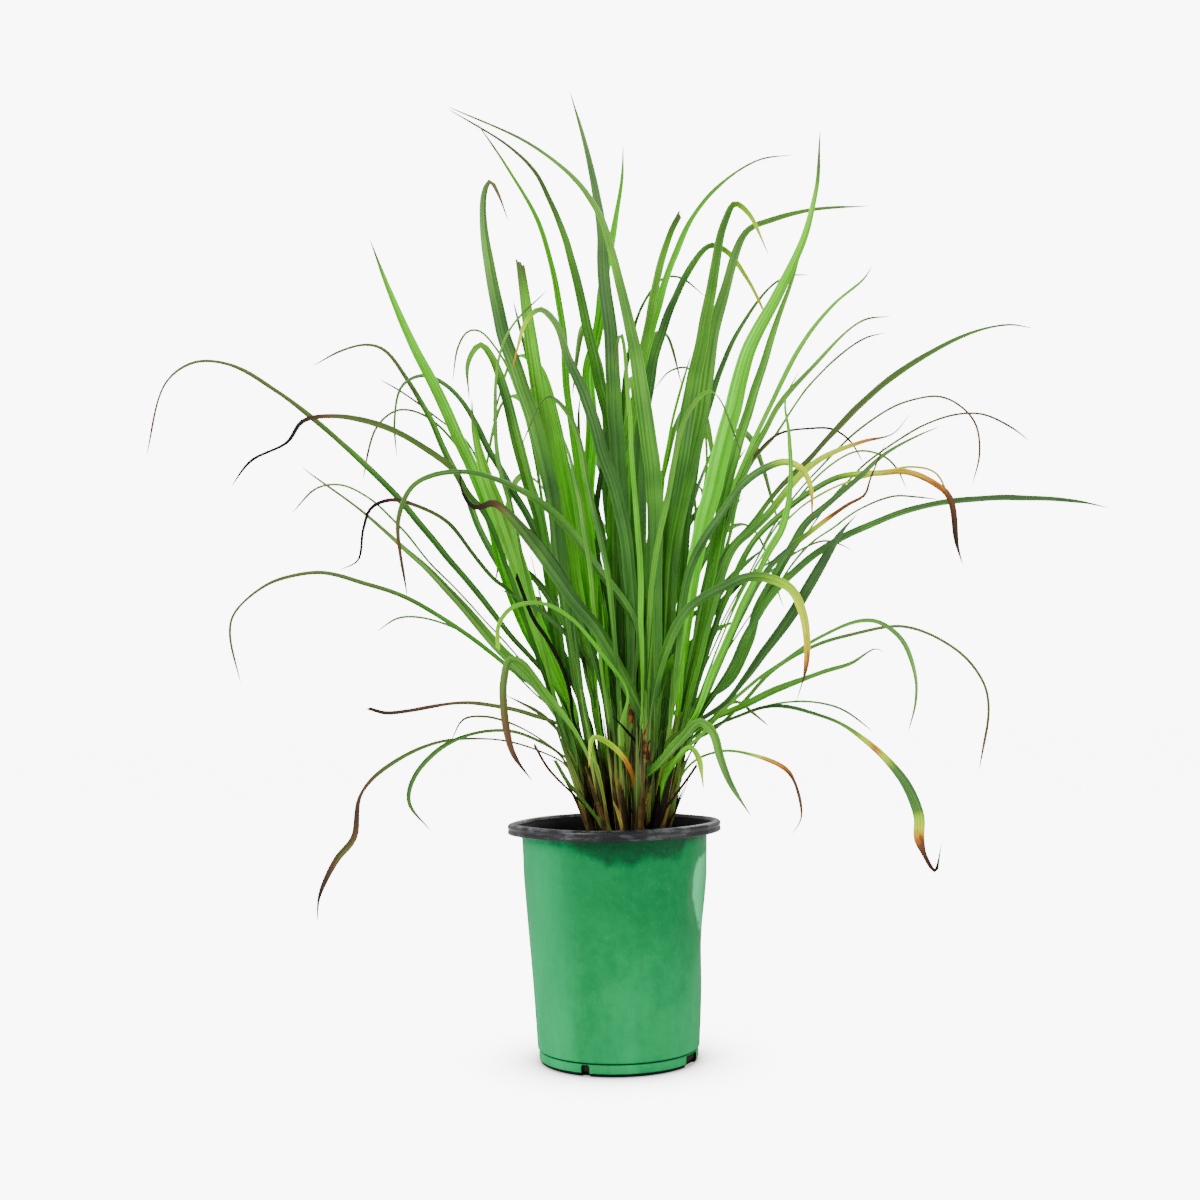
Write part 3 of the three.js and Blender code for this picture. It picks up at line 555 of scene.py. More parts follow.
     "-90 430 -111 466 -132 492 -150 504 -166 505 -182 491 -193 451"),
    (120, 2.8, 0.3, "60 60", ".8: 0 .1 .5",
     "-60 480 -72 520 -82 547 -99 568 -108 568 -116 556 -121 529"),
    (-70, 4.2, 0.1, "10 20 60 60", ".3: 0 .05 .1 .12 .3 .95 1 1",
     "-75 355 -91 370 -109 393 -126 415 -146 427 "
     "-170 434 -186 428 -192 412 -197 387 -212 380", LATE),
    (-50, 7.5, 0.42, "10 0 30 70", ".3: 0 .05 .12 .08 .1 .2 .4",
     "-31 236 -54 280 -86 315 -108 342 -137 375 -161 397 -198 430 -241 462", SLENDER),
    (100, 2.8, 0.4, "60 60", "0 0 .1 .3",
     "-110 350 -141 384 -162 410 -189 436 -211 447 -229 445 -249 426"),
    (70, 3.6, 0.25, "50 30 60", ".35: 0 .15 .2 .3 .35 .25 .4",
     "-51 276 -79 300 -119 333 -160 358 -194 370 "
     "-229 378 -267 370 -294 348 -298 333 -290 293"),
    (120, 2.6, 0.3, "60 60", ".8: 0 .1 .5",
     "-60 280 -90 310 -119 331 -147 341 -166 341 -183 331"),
    (-30, 3.6, 0.3, "60 60 60 20", "0: .1 .15 .25 .3 .55 .7 .8",
     "-37 251 -63 264 -91 271 -121 273 -158 268 -177 267 -190 271", BLUNT),
    (50, 2.6, 0.3, "60 60", ".3: .1 .3 .7",
     "-45 236 -65 250 -84 259 -101 263 -116 261 -126 244"),
    (-90, 2.7, 0.2, "20 20", "0: 1 1 1",
     "-30 258 -32 280 -38 301 -49 321 -60 338 -73 373", BLUNT),
    (40, 7.6, 0.08, "0 10", ".7: 0 0 .5",
     "-29 284 -37 306 -46 327 -58 356", BLUNT),
    (-20, 3.2, 0.4, "20 20", "0: .2 .4",
     "-42 250 -56 265 -72 274 -82 279"),
    (-40, 2.2, 0.4, "40 40", "0: .7 .75 .6",
     "-20 190 -34 204 -50 221 -61 240", BLUNT),
    (-60, 3, 0.4, "20 20", "0: .1 .1",
     "-23 195 -34 209 -45 228", BLUNT),
    (-80, 2.2, 0.3, "20 20", "0: 1 1",
     "22 234 12 249 0 262"),
    (-40, 2.2, 0.3, "20 20", "0: .7 .8",
     "46 196 58 212 65 222", BLUNT),
))


@dataclass(frozen=True)
class Arch:
    """A leaf that leaves its stem's top and arches away from the clump.

    It heads so far round from +X (degrees), climbs by rise over reach and hangs its tip drop
    below the place where it leaves (mm).
    """

    heading: float
    reach: float
    rise: float
    drop: float
    width: float

    # Shares of the reach and the rise of the points between the foot and the tip.
    SHARES = ((0.08, 0.3), (0.26, 0.68), (0.5, 0.95), (0.74, 1.0))
    # Turns of the face along it (degrees).
    TURNS = (90, 62, 38, 52, 70)
    DRYNESS = (0.0, 0.0, 0.1, 0.4)

    def points(self, stem: Stem, swing: float) -> Array:
        """Its course from a stem, swung by some degrees: seven points (mm)."""
        out = level_way(math.radians(self.heading + swing))
        leave = stem.top - TOP_MARGIN
        start = stem.at(leave)
        shares = [*self.SHARES, (1.0, (self.rise - self.drop) / self.rise)]
        outer = [start + out * far * self.reach + [0, 0, high * self.rise] for far, high in shares]
        return np.array([stem.at(leave - START_BELOW), start, *outer])

    def blade(self, order: int) -> Blade:
        """How it looks: by turns it shows one face or the other, in a tone of its own."""
        turns = [(turn if order % 2 else 180 - turn) / TURNED for turn in self.TURNS]
        tone = 0.15 + 0.6 * ((order * 0.618) % 1.0)
        return Blade(self.width, tuple(turns), tone, DRY_FROM, self.DRYNESS)

    def facing(self) -> Array:
        """The level direction across its course, which a face with turn 0 faces."""
        turn = math.radians(self.heading)
        return np.array([-math.sin(turn), math.cos(turn), 0.0])


# Arching leaves: sixteen at the back and three at the front.
ARCHES = tuple(Arch(*row) for row in (
    (66, 150, 330, 40, 9), (84, 210, 300, 90, 8), (104, 170, 340, 50, 10), (118, 230, 270, 90, 7),
    (76, 290, 210, 120, 6), (96, 110, 380, 20, 9), (112, 260, 200, 90, 6), (56, 220, 250, 80, 7),
    (106, 300, 180, 110, 5), (68, 230, 260, 90, 8), (88, 320, 150, 130, 5), (122, 170, 300, 50, 8),
    (62, 280, 170, 70, 5), (98, 250, 230, 70, 6), (100, 240, 130, 110, 6), (80, 180, 140, 90, 6),
    (262, 130, 250, 30, 3.8), (298, 140, 210, 50, 3.6), (240, 130, 220, 40, 3.8),
))


@dataclass(frozen=True)
class Filling:
    """Upright leaves that fill the middle of the clump, drawn from a fixed seed (mm, degrees).

    A leaf's lean, -1 to 1, moves its foot by spread and its tip by lean and lowers it by leaning.
    aside lies to the right, stray is a tip's, depths are the tips' y, and kept is the share of
    the planned width that the blade gets.
    """

    count: int = 18
    seed: int = 26
    foot: float = 300.0
    heights: tuple[float, float] = (370.0, 520.0)
    leaning: float = 90.0
    depths: tuple[float, float] = (-70.0, 160.0)
    widths: tuple[float, float] = (4.5, 7.5)
    kept: float = 0.82
    spread: float = 42.0
    lean: float = 78.0
    stray: float = 24.0
    aside: float = 6.0
    turn: float = 70.0

    def leaves(self, clump: Clump) -> list[Leaf]:
        """The leaves, from the clump's middle to its sides."""
        draw = Mulberry(self.seed)
        made = []
        for _ in range(self.count):
            lean = 2 * draw() - 1
            height = lerp(*self.heights, draw()) - self.leaning * abs(lean)
            depth = lerp(*self.depths, draw())
            width = lerp(*self.widths, draw())
            turn = self.turn * draw()
            foot = clump.middle + self.aside + self.spread * lean
            tip = foot + self.lean * lean + self.stray * (draw() - 0.5)
            across, up = np.array([0, 0.22, 0.55, 1.0]), np.array([0, 0.36, 0.72, 1.0])
            course = np.stack([lerp(foot, tip, across), lerp(self.foot, height, up)], axis=1)
            tone = 0.05 + 0.5 * ((width * 7.3) % 1.0) ** 1.5
            turns = (turn, 0.4 * turn, 60)
            blade = Blade(self.kept * width, turns, tone, DRY_FROM, (0, 0, 0.1))
            made.append(Leaf(depth, course, blade))
        return made


class Placer:
    """Finds which stem bears a leaf and how deep it lies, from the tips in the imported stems."""

    # A tip's ring lies within this of its middle, and its opposite corners match this closely.
    REACH = 6.5
    MATCH = 0.02
    CORNERS = 4
    # Depths (mm) and headings (degrees) to try round the planned one, nearest first.
    SHIFTS = (0, 12, -12, 24, -24, 38, -38, 54, -54, 72, -72, 92, -92, 114, -114, 140, -140)
    SWINGS = (0, 5, -5, 10, -10, 16, -16)

    def __init__(self, stems: list[Stem], nodes: dict[str, Object]) -> None:
        """Sorts the points of every packed stem, for stems in order and nodes by name."""
        self.stems = stems
        places, self.owners = [], []
        for stem in stems:
            mesh = nodes[stem.node].data
            raw = np.empty(3 * len(mesh.vertices))
            mesh.vertices.foreach_get("co", raw)
            solid = np.unique(np.round(raw.reshape(-1, 3) / MM, 3), axis=0)
            places.append(solid)
            self.owners += [stem.number - 1] * len(solid)
        self.places = np.vstack(places)
        self.tree = KDTree(len(self.places))
        for index, place in enumerate(self.places):
            self.tree.insert(place, index)
        self.tree.balance()

    def owner(self, tip: Array) -> int | None:
        """The stem whose solid has a tip ring round this point, or None."""
        by_stem: dict[int, list[int]] = {}
        for _, index, _ in self.tree.find_range(tip, self.REACH):
            by_stem.setdefault(self.owners[index], []).append(index)
        for number, found in by_stem.items():
            ring = self.places[found]
            opposite = 2 * tip - ring
            gaps = np.linalg.norm(opposite[:, None] - ring[None], axis=2).min(axis=1)
            if np.sum(gaps < self.MATCH) >= self.CORNERS:
                return number
        return None

    def leaf(self, plan: Leaf) -> tuple[Stem, float] | None:
        """The stem and tip depth of a planned leaf, or None where the solids hold no such tip."""
        x, z = plan.course[-1]
        for shift in self.SHIFTS:
            number = self.owner(at_depth(x, z, plan.depth + shift))
            if number is not None:
                return self.stems[number], plan.depth + shift
        return None

    def arch(self, arch: Arch) -> tuple[Stem, float] | None:
        """The stem and swing of an arching leaf, or None where the solids hold no such tip."""
        for stem in self.stems:
            for swing in self.SWINGS:
                if self.owner(arch.points(stem, swing)[-1]) == stem.number - 1:
                    return stem, swing
        return None


# --- Meshes ---


class Layer(Enum):
    """Which material a skin of a leafy stem wears."""

    LEAF = 0
    SHEATH = 1


@dataclass
class Skin:
    """Part of a mesh (m), with its points' UVs (across and along), tint and dryness."""

    points: Array
    faces: list[list[int]]
    uv: Array
    tint: Array
    dry: Array
    slot: int = 0


def plain_skin(points: Array, faces: list[list[int]]) -> Skin:
    """A skin of points (mm) whose material needs no UVs, tint or dryness."""
    blank = np.zeros((len(points), 3))
    return Skin(points * MM, faces, blank[:, :2], blank, blank[:, 0])


def ring_faces(stations: int, sides: int, closed: bool = True) -> list[list[int]]:
    """Quads between successive rings of `sides` points, with a face at both ends if closed."""
    start = np.arange(stations - 1)[:, None] * sides
    side = np.arange(sides)[None]
    after = (side + 1) % sides
    near, far = start + side, start + after
    quads = np.stack([near, far, sides + far, sides + near], axis=2)
    faces = quads.reshape(-1, 4).tolist()
    if closed:
        last = (stations - 1) * sides
        faces.append(list(range(sides - 1, -1, -1)))
        faces.append(list(range(last, last + sides)))
    return faces


def link(name: str, data: ID) -> Object:
    """An object of this data in the scene, at the origin."""
    made = bpy.data.objects.new(name, data)
    bpy.context.scene.collection.objects.link(made)
    return made


def make_object(
    name: str, skins: Sequence[Skin], materials: Sequence[Material]
) -> Object:
    """One object from several skins, with UVs and the point attributes tint and dry.

    Args:
        name: its name.
        skins: its parts.
        materials: in the order of the slot numbers.

    Returns:
        The object, at the origin.
    """
    faces, slots = [], []
    total = 0
    for skin in skins:
        faces += [[total + corner for corner in face] for face in skin.faces]
        slots += [skin.slot] * len(skin.faces)
        total += len(skin.points)
    mesh = bpy.data.meshes.new(name)
    mesh.from_pydata(np.vstack([skin.points for skin in skins]).tolist(), [], faces)
    for material in materials:
        mesh.materials.append(material)
    mesh.polygons.foreach_set("material_index", slots)
    mesh.polygons.foreach_set("use_smooth", [True] * len(mesh.polygons))
    uv = np.vstack([skin.uv for skin in skins])
    corners = np.empty(len(mesh.loops), dtype=np.int32)
    mesh.loops.foreach_get("vertex_index", corners)
    layer = mesh.uv_layers.new(name="UVMap")
    layer.data.foreach_set("uv", uv[corners].ravel())
    tint = mesh.attributes.new("tint", "FLOAT_COLOR", "POINT")
    colours = np.ones((total, 4))
    colours[:, :3] = np.vstack([skin.tint for skin in skins])
    tint.data.foreach_set("color", colours.ravel())
    dry = mesh.attributes.new("dry", "FLOAT", "POINT")
    dry.data.foreach_set("value", np.concatenate([skin.dry for skin in skins]))
    mesh.update()
    mesh.set_sharp_from_angle(angle=SHARP)
    LOG.info("%s: %d points, %d faces", name, total, len(faces))
    return link(name, mesh)


# --- Colours ---


@dataclass(frozen=True)
class Ramp:
    """Colours, in thousandths, at rising steps, blended band by band between them."""

    steps: tuple[float, ...]
    colours: tuple[tuple[int, int, int], ...]

    def at(self, value: Number) -> Array:
        """The colours at these numbers."""
        bands = np.array(self.colours).T / 1000
        return np.stack([np.interp(value, self.steps, band) for band in bands], axis=-1)


DRY_STEPS = (0.0, 0.18, 0.36, 0.55, 0.75, 1.0)
FOOT_HEIGHTS = (164.0, 180.0, 200.0, 226.0, 262.0)

# Fresh green by tone.
GREEN = Ramp((0.0, 0.3, 0.65, 1.0), (
    (18, 80, 12), (54, 213, 26), (125, 520, 22), (120, 800, 3),
))
# Drying through yellow and orange, by dryness.
GOLD = Ramp(DRY_STEPS, (
    (100, 400, 10), (400, 840, 2), (740, 960, 2), (900, 300, 20), (190, 70, 32), (24, 17, 13),
))
# Drying through olive and brown, by dryness.
DULL = Ramp(DRY_STEPS, (
    (70, 230, 26), (105, 205, 38), (130, 150, 40), (170, 90, 38), (34, 23, 13), (6, 5, 4),
))
# The foot of a pale, clean stem and of a dark, husky one, by height (mm). Both turn near
# black just above the soil: dead sheaths there, and painted shade at the base of the clump.
PALE_FOOT = Ramp(FOOT_HEIGHTS, (
    (50, 36, 14), (270, 220, 60), (430, 560, 80), (340, 560, 60), (170, 440, 35),
))
DARK_FOOT = Ramp(FOOT_HEIGHTS, (
    (6, 4, 3), (14, 9, 6), (56, 48, 22), (58, 108, 32), (52, 190, 30),
))
# Dead sheath, from straw to black.
HUSK = Ramp((0.0, 0.4, 0.7, 1.0), (
    (660, 560, 120), (200, 125, 42), (50, 34, 15), (7, 5, 4),
))
RUST = np.array([(0.420, 0.150, 0.042), (0.090, 0.036, 0.016)])

# Factors for the green towards a tip and for an underside, fresh and dry, and its fresh bloom.
WEATHERED = np.array([1.5, 1.04, 2.0])
UNDER_FRESH = np.array([1.25, 1.1, 1.5])
UNDER_DRY = np.array([1.15, 1.1, 1.0])
BLOOM = np.array([0.008, 0.012, 0.004])


def foot_colours(height: Number, paleness: float) -> Array:
    """Colours of a stem's foot by height: 0 the dark kind of stem, 1 the pale kind."""
    return lerp(DARK_FOOT.at(height), PALE_FOOT.at(height), paleness)


def aged(fresh: Array, dryness: Array, golden: bool) -> Array:
    """Fresh colour turned with dryness to yellow and orange, or to olive, and then to black."""
    dried = (GOLD if golden else DULL).at(dryness)
    return lerp(fresh, dried, smooth(0.0, DRY_STEPS[1], dryness)[..., None])


# --- Ribbons ---

# Places across a ribbon, as shares of its half width: over its upper side, then back under it.
ACROSS_TOP = (-1, -0.72, -0.42, -0.15, 0, 0.15, 0.42, 0.72, 1)
ACROSS_UNDER = (0.72, 0.42, 0.15, 0, -0.15, -0.42, -0.72)
ACROSS = np.array([*ACROSS_TOP, *ACROSS_UNDER])
IS_TOP = np.array([True] * len(ACROSS_TOP) + [False] * len(ACROSS_UNDER))

# How ragged the end of a blade and of a dead sheath is, as a share of the half width there.
TORN = 1.0
FRAYED = 1.6


@dataclass(frozen=True)
class Form:
    """What makes one blade differ from the next: folds along its midrib (degrees), waves of its
    edges as a share of the half width, keel, and half its thickness (mm)."""

    fold: float = 17.0
    foot_fold: float = 36.0
    ripple: float = 0.06
    keel: float = 0.4
    body: float = 0.26


@dataclass
class Ribbon:
    """A long thin surface: at every station its middle, frame, half width, curl and fold.

    Lengths in mm, curl in 1/mm with the hollow side up, and fold in radians. The direction up,
    which the inner side faces, and the fold may be given once for all stations.
    """

    centre: Array
    up: Array
    half: Array
    curl: Array
    fold: Number
    form: Form
    seed: int

    def __post_init__(self) -> None:
        """Spreads over all stations what is given once."""
        self.up = np.broadcast_to(self.up, self.centre.shape)
        self.fold = np.broadcast_to(self.fold, len(self.centre))

    def surface(self, ragged: float = 0.0) -> Array:
        """The points of its surface.

        At a = u*half from the middle, with u from -1 to 1, the curl k puts a point sin(a*k)/k to
        the side and (1 - cos(a*k))/k up. The fold turns each half up, and half the thickness
        lies above and below, with a keel under the middle.

        Args:
            ragged: how uneven its far end is, as a share of its half width.

        Returns:
            (n, 16, 3) points (mm).
        """
        rng = np.random.default_rng(self.seed)
        tangent = unit(np.gradient(self.centre, axis=0))
        up = unit(self.up - np.sum(self.up * tangent, axis=1, keepdims=True) * tangent)
        side = np.cross(up, tangent)
        half, fold = self.half[:, None], self.fold[:, None]
        curl = np.maximum(self.curl, 1e-4)[:, None]
        u = ACROSS[None]
        bend = u * half * curl
        flat = np.sin(bend) / curl
        high = (1 - np.cos(bend)) / curl
        run = run_along(self.centre)[:, None]
        phase = rng.uniform(0, math.tau, 2)
        wave = np.sin(math.tau * run / rng.uniform(38, 70) + np.where(u > 0, phase[0], phase[1]))
        lift = np.abs(flat) * np.sin(fold) + high - 0.4 * half * np.sin(fold)
        lift = lift + self.form.ripple * half * wave * u**2 * (1 - np.clip(curl / 0.1, 0, 1))
        body = np.minimum(self.form.body * (1 - 0.62 * u**2), 0.5 * half)
        rib = np.exp(-((u / 0.16) ** 2)) * np.minimum(half / 4.0, 1.0)
        rib = rib * np.linspace(1.0, 0.2, len(half))[:, None]
        lift = lift + np.where(IS_TOP[None], body - 0.1 * rib, -body - self.form.keel * rib)
        across = flat * np.cos(fold)
        points = self.centre[:, None] + across[..., None] * side[:, None]
        points = points + lift[..., None] * up[:, None]
        if ragged:
            teeth = rng.uniform(-0.5, 0.5, len(ACROSS)) + 0.9 * ACROSS * rng.choice([-1, 1])
            points[-1] += tangent[-1] * (ragged * teeth * self.half[-1])[:, None]
        return points

    def skin(self, tint: Array, dryness: Array, slot: int, ragged: float = 0.0) -> Skin:
        """Its surface: painted shade on one half, painted light along its edges, paler underneath.

        Args:
            tint: (n, 3) colours of the stations.
            dryness: (n,) their dryness.
            slot: material slot.
            ragged: as in `surface`.

        Returns:
            The skin, in metres.
        """
        rng = np.random.default_rng(self.seed + 1)
        points = self.surface(ragged)
        count, sides = points.shape[:2]
        u = np.broadcast_to(ACROSS[None], (count, sides))
        # Painted shade: one half of the ribbon, beside its midline, is darker by a random share.
        shade = 1 - 0.34 * smooth(-0.1, 0.1, u * rng.choice([-1, 1])) * rng.uniform(0.3, 1)
        # Painted light: the tint grows paler towards both edges.
        shade = shade * (1 + 0.22 * smooth(0.8, 1.0, np.abs(u)))
        colour = tint[:, None, :] * shade[..., None]
        dried = np.clip(2.5 * dryness, 0, 1)[:, None, None]
        pale = colour * lerp(UNDER_FRESH, UNDER_DRY, dried) + BLOOM * (1 - dried)
        colour = np.where(IS_TOP[None, :, None], colour, pale)
        along = np.broadcast_to(run_along(self.centre)[:, None] / 100.0, u.shape)
        return Skin(
            points.reshape(-1, 3) * MM,
            [face[::-1] for face in ring_faces(count, sides)],
            np.stack([0.5 + 0.5 * u, along], axis=-1).reshape(-1, 2),
            np.clip(colour, 0, 1).reshape(-1, 3),
            np.repeat(np.clip(dryness, 0, 1), sides),
            slot,
        )


# --- Leaves ---


@dataclass
class Bearing:
    """A leaf with its place found: points inside the stem, where it leaves and on its course.

    facing is what a face with turn 0 faces, or None for the viewpoint.
    """

    points: Array
    blade: Blade
    facing: Array | None
    seed: int

    @property
    def outer(self) -> Array:
        """Its course beyond the stem (mm)."""
        return self.points[2:]

    @property
    def leave(self) -> float:
        """Height where the course leaves the stem (mm)."""
        return self.points[1][2]

    def lean(self, stem: Stem) -> Array:
        """Level direction in which it leaves the stem."""
        away = (self.outer[1] - stem.at(self.leave)) * [1.0, 1.0, 0.0]
        return unit(away + 2.0 * stem.outward)


@dataclass(frozen=True)
class Sheath:
    """The part of a leaf that clasps its stem, up to the ligule (heights), and its distance
    from the stem's axis (mm)."""

    foot: float
    ligule: float
    reach: float


class LeafSkin:
    """One leaf: a sheath that clasps the stem and the blade that it opens into."""

    # Half width of a sheath for its reach, and the length over which the blade opens (mm).
    WRAP = 2.4
    OPENING = 34.0
    # Turn of a narrow blade's lower half about its midrib (degrees).
    ROLLED = 30.0
    # Blades from this width on are the broad ones (mm).
    BROAD = 13.0
    # Distance between stations (mm).
    STATION = 4.4

    def __init__(self, bearing: Bearing, stem: Stem, sheath: Sheath, paleness: float) -> None:
        """Lays the sheath up the stem's side and joins the blade's course to it.

        Args:
            bearing: the leaf.
            stem: its stem.
            sheath: where it clasps the stem.
            paleness: the stem's, 0 to 1.
        """
        self.bearing, self.blade = bearing, bearing.blade
        self.reach, self.paleness = sheath.reach, paleness
        ligule, outer = sheath.ligule, bearing.outer
        beside = bearing.lean(stem) * sheath.reach
        if outer[0, 2] < ligule + 8:
            outer = outer[outer[:, 2] > ligule + 8]
        if len(outer) < 3:
            outer = bearing.outer
        heights = np.arange(sheath.foot, ligule, 6.0)
        clasping = np.array([stem.at(height) + beside for height in heights])
        rise = np.array([stem.at(ligule - 18) + beside, stem.at(ligule) + beside, *outer])
        dense = centripetal(rise, 24)[24:]
        run = run_along(dense)
        self.length = run[-1]
        at = np.linspace(0.0, self.length, max(int(self.length / self.STATION), 10) + 1)
        blade = np.stack([np.interp(at, run, dense[:, axis]) for axis in range(3)], axis=1)
        self.centre = np.vstack([clasping, blade + self.sway(at)])
        self.past = np.concatenate([heights - ligule, at])
        self.share = np.clip(self.past / self.length, 0, 1)
        self.up = self.frame(bearing.lean(stem))

    def sway(self, at: Array) -> Array:
        """Slight bends of the blade, sideways and in depth, that fade at both ends (mm)."""
        size = np.sin(math.pi * np.clip(at / self.length, 0, 1)) * min(self.length / 260.0, 1.0)
        bends = [
            1.5 * noise_along(at, 62.0, seed) + 0.5 * noise_along(at, 21.0, seed + 50)
            for seed in (self.bearing.seed + 1, self.bearing.seed + 2, self.bearing.seed + 3)
        ]
        return (np.stack(bends, axis=1) * [1.0, 1.6, 0.5]) * size[:, None]

    def frame(self, lean: Array) -> Array:
        """The inner side's direction: to the stem on the sheath, as planned on the blade."""
        tangent = unit(np.gradient(self.centre, axis=0))
        facing = self.bearing.facing
        sight = unit(self.centre - EYE) if facing is None else facing + 0 * tangent
        flat = unit(np.cross(tangent, sight))
        deep = np.cross(tangent, flat)
        turns = self.blade.turns
        turn = TURNED * np.radians(np.interp(self.share, np.linspace(0, 1, len(turns)), turns))
        if self.blade.width < self.BROAD:
            rolled = math.radians(self.ROLLED if self.bearing.seed % 2 else -self.ROLLED)
            turn = turn + rolled * (1 - smooth(0.3, 0.7, self.share))
        turn = turn[:, None]
        planned = np.cross(tangent, np.cos(turn) * flat + np.sin(turn) * deep)
        clasp = -lean - np.sum(-lean * tangent, axis=1, keepdims=True) * tangent
        near = (self.past > 0) & (self.past < 70)
        level = 1 - tangent[:, 2] ** 2
        agree = np.sum(planned[near] * clasp[near]) + 0.25 * np.sum(planned[:, 2] * level)
        planned = planned * (1.0 if agree >= 0 else -1.0)
        opened = smooth(0.0, 60.0, self.past)[:, None]
        return unit(lerp(unit(clasp), planned, opened) + 1e-6)

    def dryness(self) -> Array:
        """How dry it is along its length: 0 fresh to 1 dead."""
        listed = self.blade.dryness
        return np.interp(self.share, np.linspace(self.blade.dry_from, 1.0, len(listed)), listed)

    def half_width(self) -> Array:
        """Half the width (mm): round the stem on the sheath, then the blade's, to a fine tip."""
        cut, share, width = self.blade.cut, self.share, self.blade.width
        power = 1.05 if cut.taper < 0.5 else 1.7
        if width < self.BROAD:
            stout = 0.16 * smooth(6.0, 8.0, width) * (1 - smooth(11.0, self.BROAD, width))
            foot = np.minimum(1.0, 0.6 + 1.6 * share) * (1 + stout * (1 - smooth(0.3, 0.65, share)))
        else:
            foot = np.minimum(1.0, 0.4 + 1.1 * share)
        narrowing = np.clip((share - cut.taper) / (1 - cut.taper), 0, None)
        half = 0.6 * width * foot * (1 - (1 - cut.end) * narrowing**power)
        half = half * (1 - cut.slim * (1 - smooth(0.46, 0.68, share)))
        half = np.maximum(half, min(0.56 * width, 1.5))
        if not cut.torn:
            point = np.clip((1 - share) * self.length / 24.0, 0.0, 1.0)
            half = half * (0.08 + 0.92 * point**0.7)
        if self.blade.golden and cut.end < 0.35:
            half = half * (1 - 0.5 * smooth(0.55, 0.9, self.dryness()))
        return lerp(self.WRAP * self.reach, half, smooth(-6.0, 16.0, self.past))

    def skin(self) -> Skin:
        """The leaf's surface and colours, in metres."""
        blade, seed, past = self.blade, self.bearing.seed, self.past
        rng = np.random.default_rng(seed + 5)
        form = Form(fold=rng.uniform(16, 32), ripple=rng.uniform(0.03, 0.09))
        curl = lerp(1 / self.reach, 0.0, smooth(-4.0, self.OPENING, past))
        fold = np.radians(lerp(form.foot_fold, form.fold, smooth(30.0, 90.0, past)))
        fold = fold * smooth(4.0, self.OPENING, past)
        ribbon = Ribbon(self.centre, self.up, self.half_width(), curl, fold, form, seed)
        run = run_along(self.centre)
        drift = 0.13 * noise_along(run, 46.0, seed) + 0.06 * noise_along(run, 13.0, seed + 9)
        high = 0.14 * smooth(380.0, 640.0, self.centre[:, 2])
        tone = np.clip(blade.tone + drift + high + 0.1 * smooth(0.0, 0.3, self.share), 0, 1)
        fresh = GREEN.at(tone) * lerp(np.ones(3), WEATHERED, smooth(0.3, 0.95, self.share)[:, None])
        dryness = self.dryness()
        tint = aged(fresh, dryness, blade.golden)
        height = self.centre[:, 2] + rng.uniform(-24, 20)
        height = height + 9 * lattice_noise(self.centre, 9.0, seed)
        clasped = 1 - smooth(-8.0, min(46.0, 0.16 * self.length), past)
        low = foot_colours(height, float(np.clip(self.paleness + rng.uniform(-0.2, 0.2), 0, 1)))
        low = lerp(low, fresh, 0.6 * smooth(205, 250, height)[:, None])
        tint = lerp(tint, low, clasped[:, None])
        dryness = np.maximum(dryness, 0.5 * (1 - smooth(176, 214, height)) * clasped)
        return ribbon.skin(tint, dryness, Layer.LEAF.value, TORN if blade.cut.torn else 0.0)


# --- Stems ---

# How pale stems are, 0 dark and husky to 1 clean: front ones by number, others mixed.
STEM_PALENESS = {
    3: 0.7, 6: 0.5, 8: 0.6, 11: 0.3, 13: 0.0, 14: 0.9, 16: 0.9, 19: 0.8, 21: 1.0, 24: 0.45, 26: 0.3,
}
MIXED_PALENESS = (0.0, 0.15, 0.5, 0.8)
# Rusty scraps: x (mm) and the heights between which each curls off the nearest front stem.
SCRAPS = ((14.0, 256.0, 286.0), (16.0, 262.0, 280.0), (23.0, 230.0, 256.0), (26.0, 226.0, 244.0))
# Stems count as front ones where their foot is this far before the clump's middle (mm).
FRONT = 8.0


